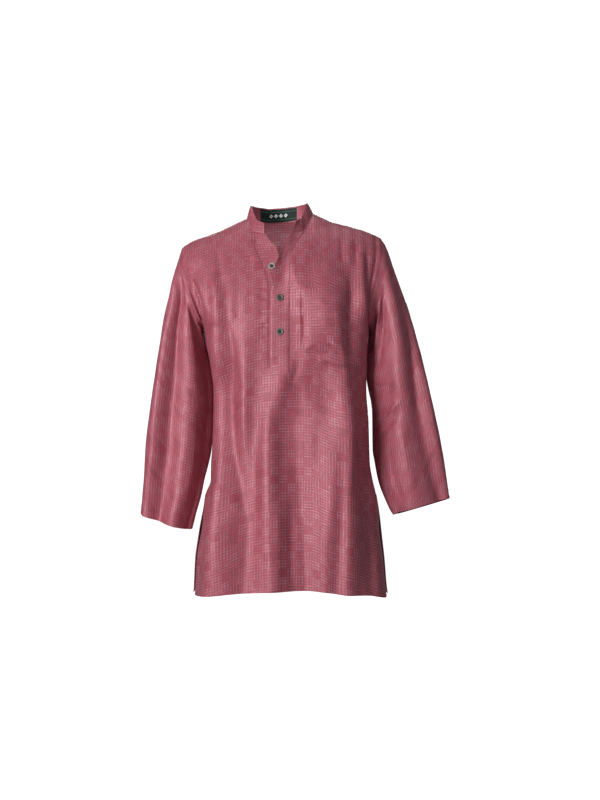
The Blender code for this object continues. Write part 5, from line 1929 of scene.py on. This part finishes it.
@dataclass(frozen=True)
class SatinLabel:
    """A woven satin label in dark green with plain pale lines and a row of lozenges."""

    name: str = "dark_green_satin"
    ground: Colour = (0.006, 0.017, 0.014)
    lustre: Colour = (0.015, 0.036, 0.029)
    pale: Colour = (0.78, 0.80, 0.76)
    line: Colour = (0.09, 0.15, 0.125)
    lozenge_pitch: float = 0.0118
    lozenge_half: float = 0.0050
    lozenge_eye: float = 0.24
    row_half: float = 0.0236
    line_at: float = 0.0092
    line_half: float = 0.00055
    relief: float = 0.00015

    def make(self) -> Finish:
        """Makes the material.

        Returns:
            The material.
        """
        graph = ShaderGraph(self.name)
        across, up = graph.cloth_place()
        pick = graph.noise(graph.at(across * 260.0, up * 5200.0, 1.0), 2.0, 0.6)
        cross = ((across / self.lozenge_pitch).fraction() - 0.5) * self.lozenge_pitch
        lozenge = (abs(cross) + abs(up)).below(self.lozenge_half) * abs(across).below(self.row_half)
        eye = (abs(cross) + abs(up)).below(self.lozenge_half * self.lozenge_eye)
        border = (abs(abs(up) - self.line_at)).below(self.line_half)
        satin = graph.mix(self.ground, self.lustre, pick.clear_of(0.35, 0.35))
        satin = graph.mix(satin, self.line, border)
        return graph.finish(
            pick + lozenge * 0.4 + border * 0.3,
            self.relief,
            0.6,
            Base_Color=graph.mix(satin, self.pale, lozenge * (1 - eye) * (0.65 + pick * 0.5)),
            Roughness=0.50 + pick * 0.2,
            Specular_IOR_Level=0.2,
        )


@dataclass(frozen=True)
class StudioWhite:
    """Plain white paint for the studio's floor and walls."""

    name: str
    glow: float
    dull: Colour = (0.86, 0.86, 0.87)
    clean: Colour = (0.90, 0.90, 0.90)

    def make(self) -> Finish:
        """Makes the material.

        Returns:
            The material.
        """
        graph = ShaderGraph(self.name)
        grain = graph.noise(graph.solid_place(3.0), 2.0)
        return graph.finish(
            grain,
            0.0001,
            0.1,
            Base_Color=graph.mix(self.dull, self.clean, grain),
            Roughness=0.85 + grain * 0.1,
            Emission_Color=(1.0, 1.0, 1.0),
            Emission_Strength=self.glow,
        )


# ---- studio


@dataclass(frozen=True)
class Lamp:
    """A soft square light that points at the kurta."""

    name: str
    place: Spot
    size: float
    power: float
    target: Spot = (0.03, -0.05, -0.42)
    spread: float = 180.0

    def hang(self) -> None:
        """Hangs the lamp and points it at its target."""
        data = bpy.data.lights.new(self.name, "AREA")
        data.shape, data.size, data.energy = "SQUARE", self.size, self.power
        data.spread = math.radians(self.spread)
        made = link(self.name, data)
        made.location = self.place
        away = Vector(self.target) - Vector(self.place)
        made.rotation_euler = away.to_track_quat("-Z", "Y").to_euler()


@dataclass
class Studio:
    """A white room with soft lamps and the camera."""

    floor: float = -1.42
    radius: float = 9.0
    steps: int = 64
    rings: int = 12
    camera_place: Spot = (0.0476, -3.4, -0.431)
    lens: float = 64.3
    sensor: float = 36.0
    ambient: float = 0.14
    lamps: tuple[Lamp, ...] = (
        Lamp("key", (-2.20, -2.95, 0.12), 1.0, 113.0),
        Lamp("fill", (1.8, -3.0, 0.3), 2.4, 13.0),
        Lamp("top", (0.0, 0.4, 2.4), 1.6, 16.0),
        Lamp("neck", (0.0, -0.02, -0.21), 0.07, 0.085, (0.0, 0.09, -0.04), 130.0),
        Lamp("behind", (0.0, 3.4, 0.5), 2.2, 80.0),
    )

    def _room(self, name: str, rise: float, glow: float) -> Piece:
        """Makes the floor, or the round wall and ceiling over it.

        Args:
            name: The object's name.
            rise: The height of the middle above the floor; 0 makes the floor itself.
            glow: How brightly it glows.

        Returns:
            The object.
        """
        turn = circle(self.steps)[None, :]
        up = np.linspace(0, math.pi / 2, self.rings + 1)[:-1, None]
        reach = self.radius * np.cos(up) / MM
        high = (rise * np.sin(up) + self.floor) / MM + 0 * turn
        points = join(reach * np.cos(turn), reach * np.sin(turn), high).reshape(-1, 3)
        made = place_mesh(name, points, skin(self.rings - 1, self.steps), StudioWhite(name, glow).make())
        mesh = bmesh.new()
        mesh.from_mesh(made.data)
        bmesh.ops.holes_fill(mesh, edges=[e for e in mesh.edges if e.is_boundary and e.calc_length() < 0.2])
        mesh.to_mesh(made.data)
        mesh.free()
        return made

    def build(self) -> None:
        """Builds the room, hangs the lamps and places the camera."""
        for room in (self._room("studio_floor", 0.0, 0.92), self._room("studio_wall", self.radius, 1.0)):
            room.visible_diffuse = room.visible_glossy = room.visible_shadow = False
            room.visible_transmission = room.visible_volume_scatter = False
        for lamp in self.lamps:
            lamp.hang()
        scene = bpy.context.scene
        scene.world = bpy.data.worlds.new("pale_room")
        scene.world.use_nodes = True
        background = scene.world.node_tree.nodes["Background"]
        background.inputs["Color"].default_value = (1.0, 1.0, 1.0, 1.0)
        background.inputs["Strength"].default_value = self.ambient
        data = bpy.data.cameras.new("camera")
        data.lens, data.sensor_width = self.lens, self.sensor
        camera = link("camera", data)
        camera.location = self.camera_place
        camera.rotation_euler = (math.pi / 2, 0.0, 0.0)
        scene.camera = camera
        scene.view_settings.view_transform = "Standard"


# ---- the kurta


@dataclass(frozen=True)
class Cut:
    """What is listed for each piece: the solid it stands for, its flat cut, its hold and its finish."""

    node: str
    width: float
    length: float
    area: float
    rests_on: tuple[str, ...] = ()
    held: Hold = Hold.HUNG
    slot: str = "rose_cloth"


ON_FRONT, ON_COLLAR, ON_BODY = ("kurta_front",), ("kurta_collar",), ("kurta_front", "kurta_back")
CUTS: dict[str, Cut] = {
    "kurta_front": Cut("front_panel", 0.66, 0.94, 0.4743),
    "kurta_back": Cut("back_panel", 0.65, 0.94, 0.4755, ON_FRONT),
    "kurta_sleeve_right": Cut("sleeve_right", 0.45, 0.66, 0.2243, ON_BODY),
    "kurta_sleeve_left": Cut("sleeve_left", 0.45, 0.67, 0.2212, ON_BODY),
    "kurta_collar": Cut("collar_band", 0.39, 0.037, 0.0131, ON_FRONT),
    "kurta_placket_over": Cut("placket_over", 0.0455, 0.350, 0.0137, ON_FRONT),
    "kurta_placket_under": Cut("placket_under", 0.053, 0.350, 0.0131, ON_FRONT),
    "kurta_chest_pocket": Cut("chest_pocket", 0.109, 0.153, 0.0161, ON_FRONT, Hold.LAID),
    "kurta_neck_label": Cut("neck_label", 0.0925, 0.0312, 0.00287, ON_COLLAR, Hold.LAID, "label_green"),
}


@dataclass
class Kurta:
    """The whole kurta, built piece by piece in the order in which it's sewn."""

    form: BodyForm = field(default_factory=BodyForm)
    seamstress: Seamstress = Seamstress()
    fine_seamstress: Seamstress = Seamstress(stitch=1.9, pitch=2.5, thread=0.16, arch=0.12)
    hem_in: float = 13.5
    slit_in: float = 7.0
    cuff_in: float = 19.5
    collar_in: float = 3.0
    band_in: float = 2.6
    band_bar: float = 14.0
    pocket_in: float = 2.4
    pocket_bar: float = 16.0
    label_in: float = 1.6
    hole_below: float = 1.5
    buttons: tuple[tuple[str, Band, str, float, float], ...] = (
        ("button_1", Band.UNDER, "upper", 0.51, -121.0),
        ("button_2", Band.OVER, "middle", 0.49, -196.0),
        ("button_3", Band.OVER, "lower", 0.49, -274.0),
    )
    neck_buttonhole: Place = (0.49, -104.0)

    def __post_init__(self) -> None:
        """Mixes the finishes."""
        self.cloth = BoxWeaveCloth().make()
        self.thread = SewingThread("rose_thread", (0.30, 0.085, 0.115), (0.48, 0.17, 0.21)).make()
        self.dark_thread = SewingThread("button_thread", (0.012, 0.014, 0.013), (0.05, 0.05, 0.045)).make()
        self.label_thread = SewingThread("label_thread", (0.05, 0.09, 0.08), (0.12, 0.18, 0.16)).make()
        # Painted highlight: the upper button gets a lighter copy of the horn colours and its full pale ring,
        # as it catches more light; the middle and lower ones keep the darker colours.
        lit_horn = (0.03, 0.03, 0.028), (0.16, 0.16, 0.14), (0.56, 0.53, 0.49)
        smoky = (0.016, 0.020, 0.018), (0.085, 0.095, 0.080), (0.30, 0.30, 0.27)
        self.horn = {
            "upper": HornButton("horn_upper", *lit_horn, 1.0).make(),
            "middle": HornButton("horn_middle", *smoky, 0.30).make(),
            "lower": HornButton("horn_lower", *smoky, 0.75).make(),
        }
        self.parts: dict[str, Piece] = {}
        self.trims: dict[str, list[Piece]] = {}

    def _add(self, shell: Shell, finish: Finish) -> Shell:
        """Builds a shell's mesh and keeps it."""
        self.parts[shell.name], self.trims[shell.name] = shell.build(finish), []
        return shell

    def _sew(self, owner: str, lines: list[Line]) -> None:
        """Sews lines of stitches on a sheet."""
        self.trims[owner].append(self.seamstress.sew(owner + "_stitching", lines, self.thread))

    def _follow(self, shell: Shell, inset: float, start: float = 0.0, end: float = 1.0) -> list[Line]:
        """Follows a sheet's first and last column at a distance."""
        return [shell.along(edge, inset, start, end) for edge in (Edge.FIRST, Edge.LAST)]

    def build(self) -> None:
        """Builds every piece."""
        grid = PanelGrid(self.form)
        front, back = (self._add(BodyHalf(grid, face).shell(), self.cloth) for face in Face)
        rows = len(front.outer) - 1
        slit = (rows - grid.flap_rows) / rows
        for half in (front, back):
            hem = half.along(Edge.FOOT, self.hem_in, 0.04, 0.96)
            self._sew(half.name, [hem, *self._follow(half, self.slit_in, slit, 0.98)])
        for side in Side:
            self._build_sleeve(grid, side, front, back)
        collar_cut = Collar(grid)
        collar = self._add(collar_cut.shell(front, back), self.cloth)
        around = [collar.along(edge, self.collar_in) for edge in (Edge.FOOT, Edge.TOP)]
        self._sew(collar.name, around + self._follow(collar, self.collar_in, 0.1, 0.9))
        bands = {which: PlacketBand(self.form, which) for which in Band}
        for which, band in bands.items():
            shell = self._add(band.shell(collar_cut), self.cloth)
            insets = (self.band_in, self.band_bar) if which is Band.OVER else (self.band_in,)
            across = [shell.along(Edge.FOOT, inset, 0.08, 0.92) for inset in insets]
            self._sew(shell.name, self._follow(shell, self.band_in, 0.015) + across)
        self._build_pocket()
        self._build_label(collar)
        self._build_buttons(bands)

    def _build_sleeve(self, grid: PanelGrid, side: Side, front: Shell, back: Shell) -> None:
        """Sets a sleeve into its armhole and stitches its hem.

        Args:
            grid: The halves' grid.
            side: The wearer's side.
            front: The front's cloth.
            back: The back's cloth.
        """
        column = 0 if side is Side.RIGHT else -1
        edges = [half.outer[: grid.yoke_rows + 1, column] for half in (back, front)]
        shell = Sleeve(side).shell(np.concatenate([edges[0][::-1], edges[1][1:]]))
        self._add(shell, self.cloth)
        self._sew(shell.name, [shell.along(Edge.FOOT, self.cuff_in)])

    def _build_pocket(self) -> None:
        """Lays on the chest pocket and stitches it along its sides, its foot and its mouth's hem."""
        pocket = self._add(ChestPocket(self.form).shell(), self.cloth)
        rows = ((Edge.FOOT, self.pocket_in), (Edge.TOP, self.pocket_bar))
        across = [pocket.along(edge, inset, 0.02, 0.98) for edge, inset in rows]
        self._sew(pocket.name, self._follow(pocket, self.pocket_in, 0.01, 0.985) + across)

    def _build_label(self, collar: Shell) -> None:
        """Sews the label inside the collar.

        Args:
            collar: The collar's cloth.
        """
        label = self._add(NeckLabel().shell(collar), SatinLabel().make())
        lines = [label.along(edge, self.label_in, 0.03, 0.97) for edge in Edge]
        stitching = self.fine_seamstress.sew(label.name + "_stitching", lines, self.label_thread)
        self.trims[label.name].append(stitching)

    def _build_buttons(self, bands: dict[Band, PlacketBand]) -> None:
        """Sews on the buttons and works their buttonholes.

        Args:
            bands: The placket's bands.
        """
        button, hole, over = Button(), Buttonhole(), bands[Band.OVER]
        for name, which, horn, across, z in self.buttons:
            face = bands[which].face
            here, beside, above = face(np.array([across, across + 0.1, across]), np.array([z, z, z + 4]))
            out = unit(np.cross(beside - here, above - here))
            out = out if out[1] < 0 else -out
            body, threads = button.sewn_at("kurta_" + name, here, out, self.horn[horn], self.dark_thread)
            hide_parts(name)
            self.parts[name], self.trims[name] = body, [threads]
            if which is Band.OVER:
                edging = hole.work("kurta_" + name + "_hole", over, across, z - self.hole_below, self.thread)
                self.trims["kurta_placket_over"].append(edging)
        edging = hole.work("kurta_neck_buttonhole", over, *self.neck_buttonhole, self.thread)
        self.trims["kurta_placket_over"].append(edging)

    def declare(self) -> None:
        """Ties every piece to the body and hides the solid that each sheet stands for."""
        for name, piece in self.parts.items():
            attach(piece, BODY)
            for trim in self.trims[name]:
                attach(trim, BODY)
            LOG.info("%s: %d faces, %d trims", name, len(piece.data.polygons), len(self.trims[name]))
            if name not in CUTS:
                continue
            cut = CUTS[name]
            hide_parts(cut.node)


def main() -> None:
    """Builds the studio and the kurta, and declares every piece."""
    logging.basicConfig(level=logging.INFO, format="%(name)s: %(message)s")
    Studio().build()
    kurta = Kurta()
    kurta.build()
    kurta.declare()


if __name__ == "__main__":
    main()
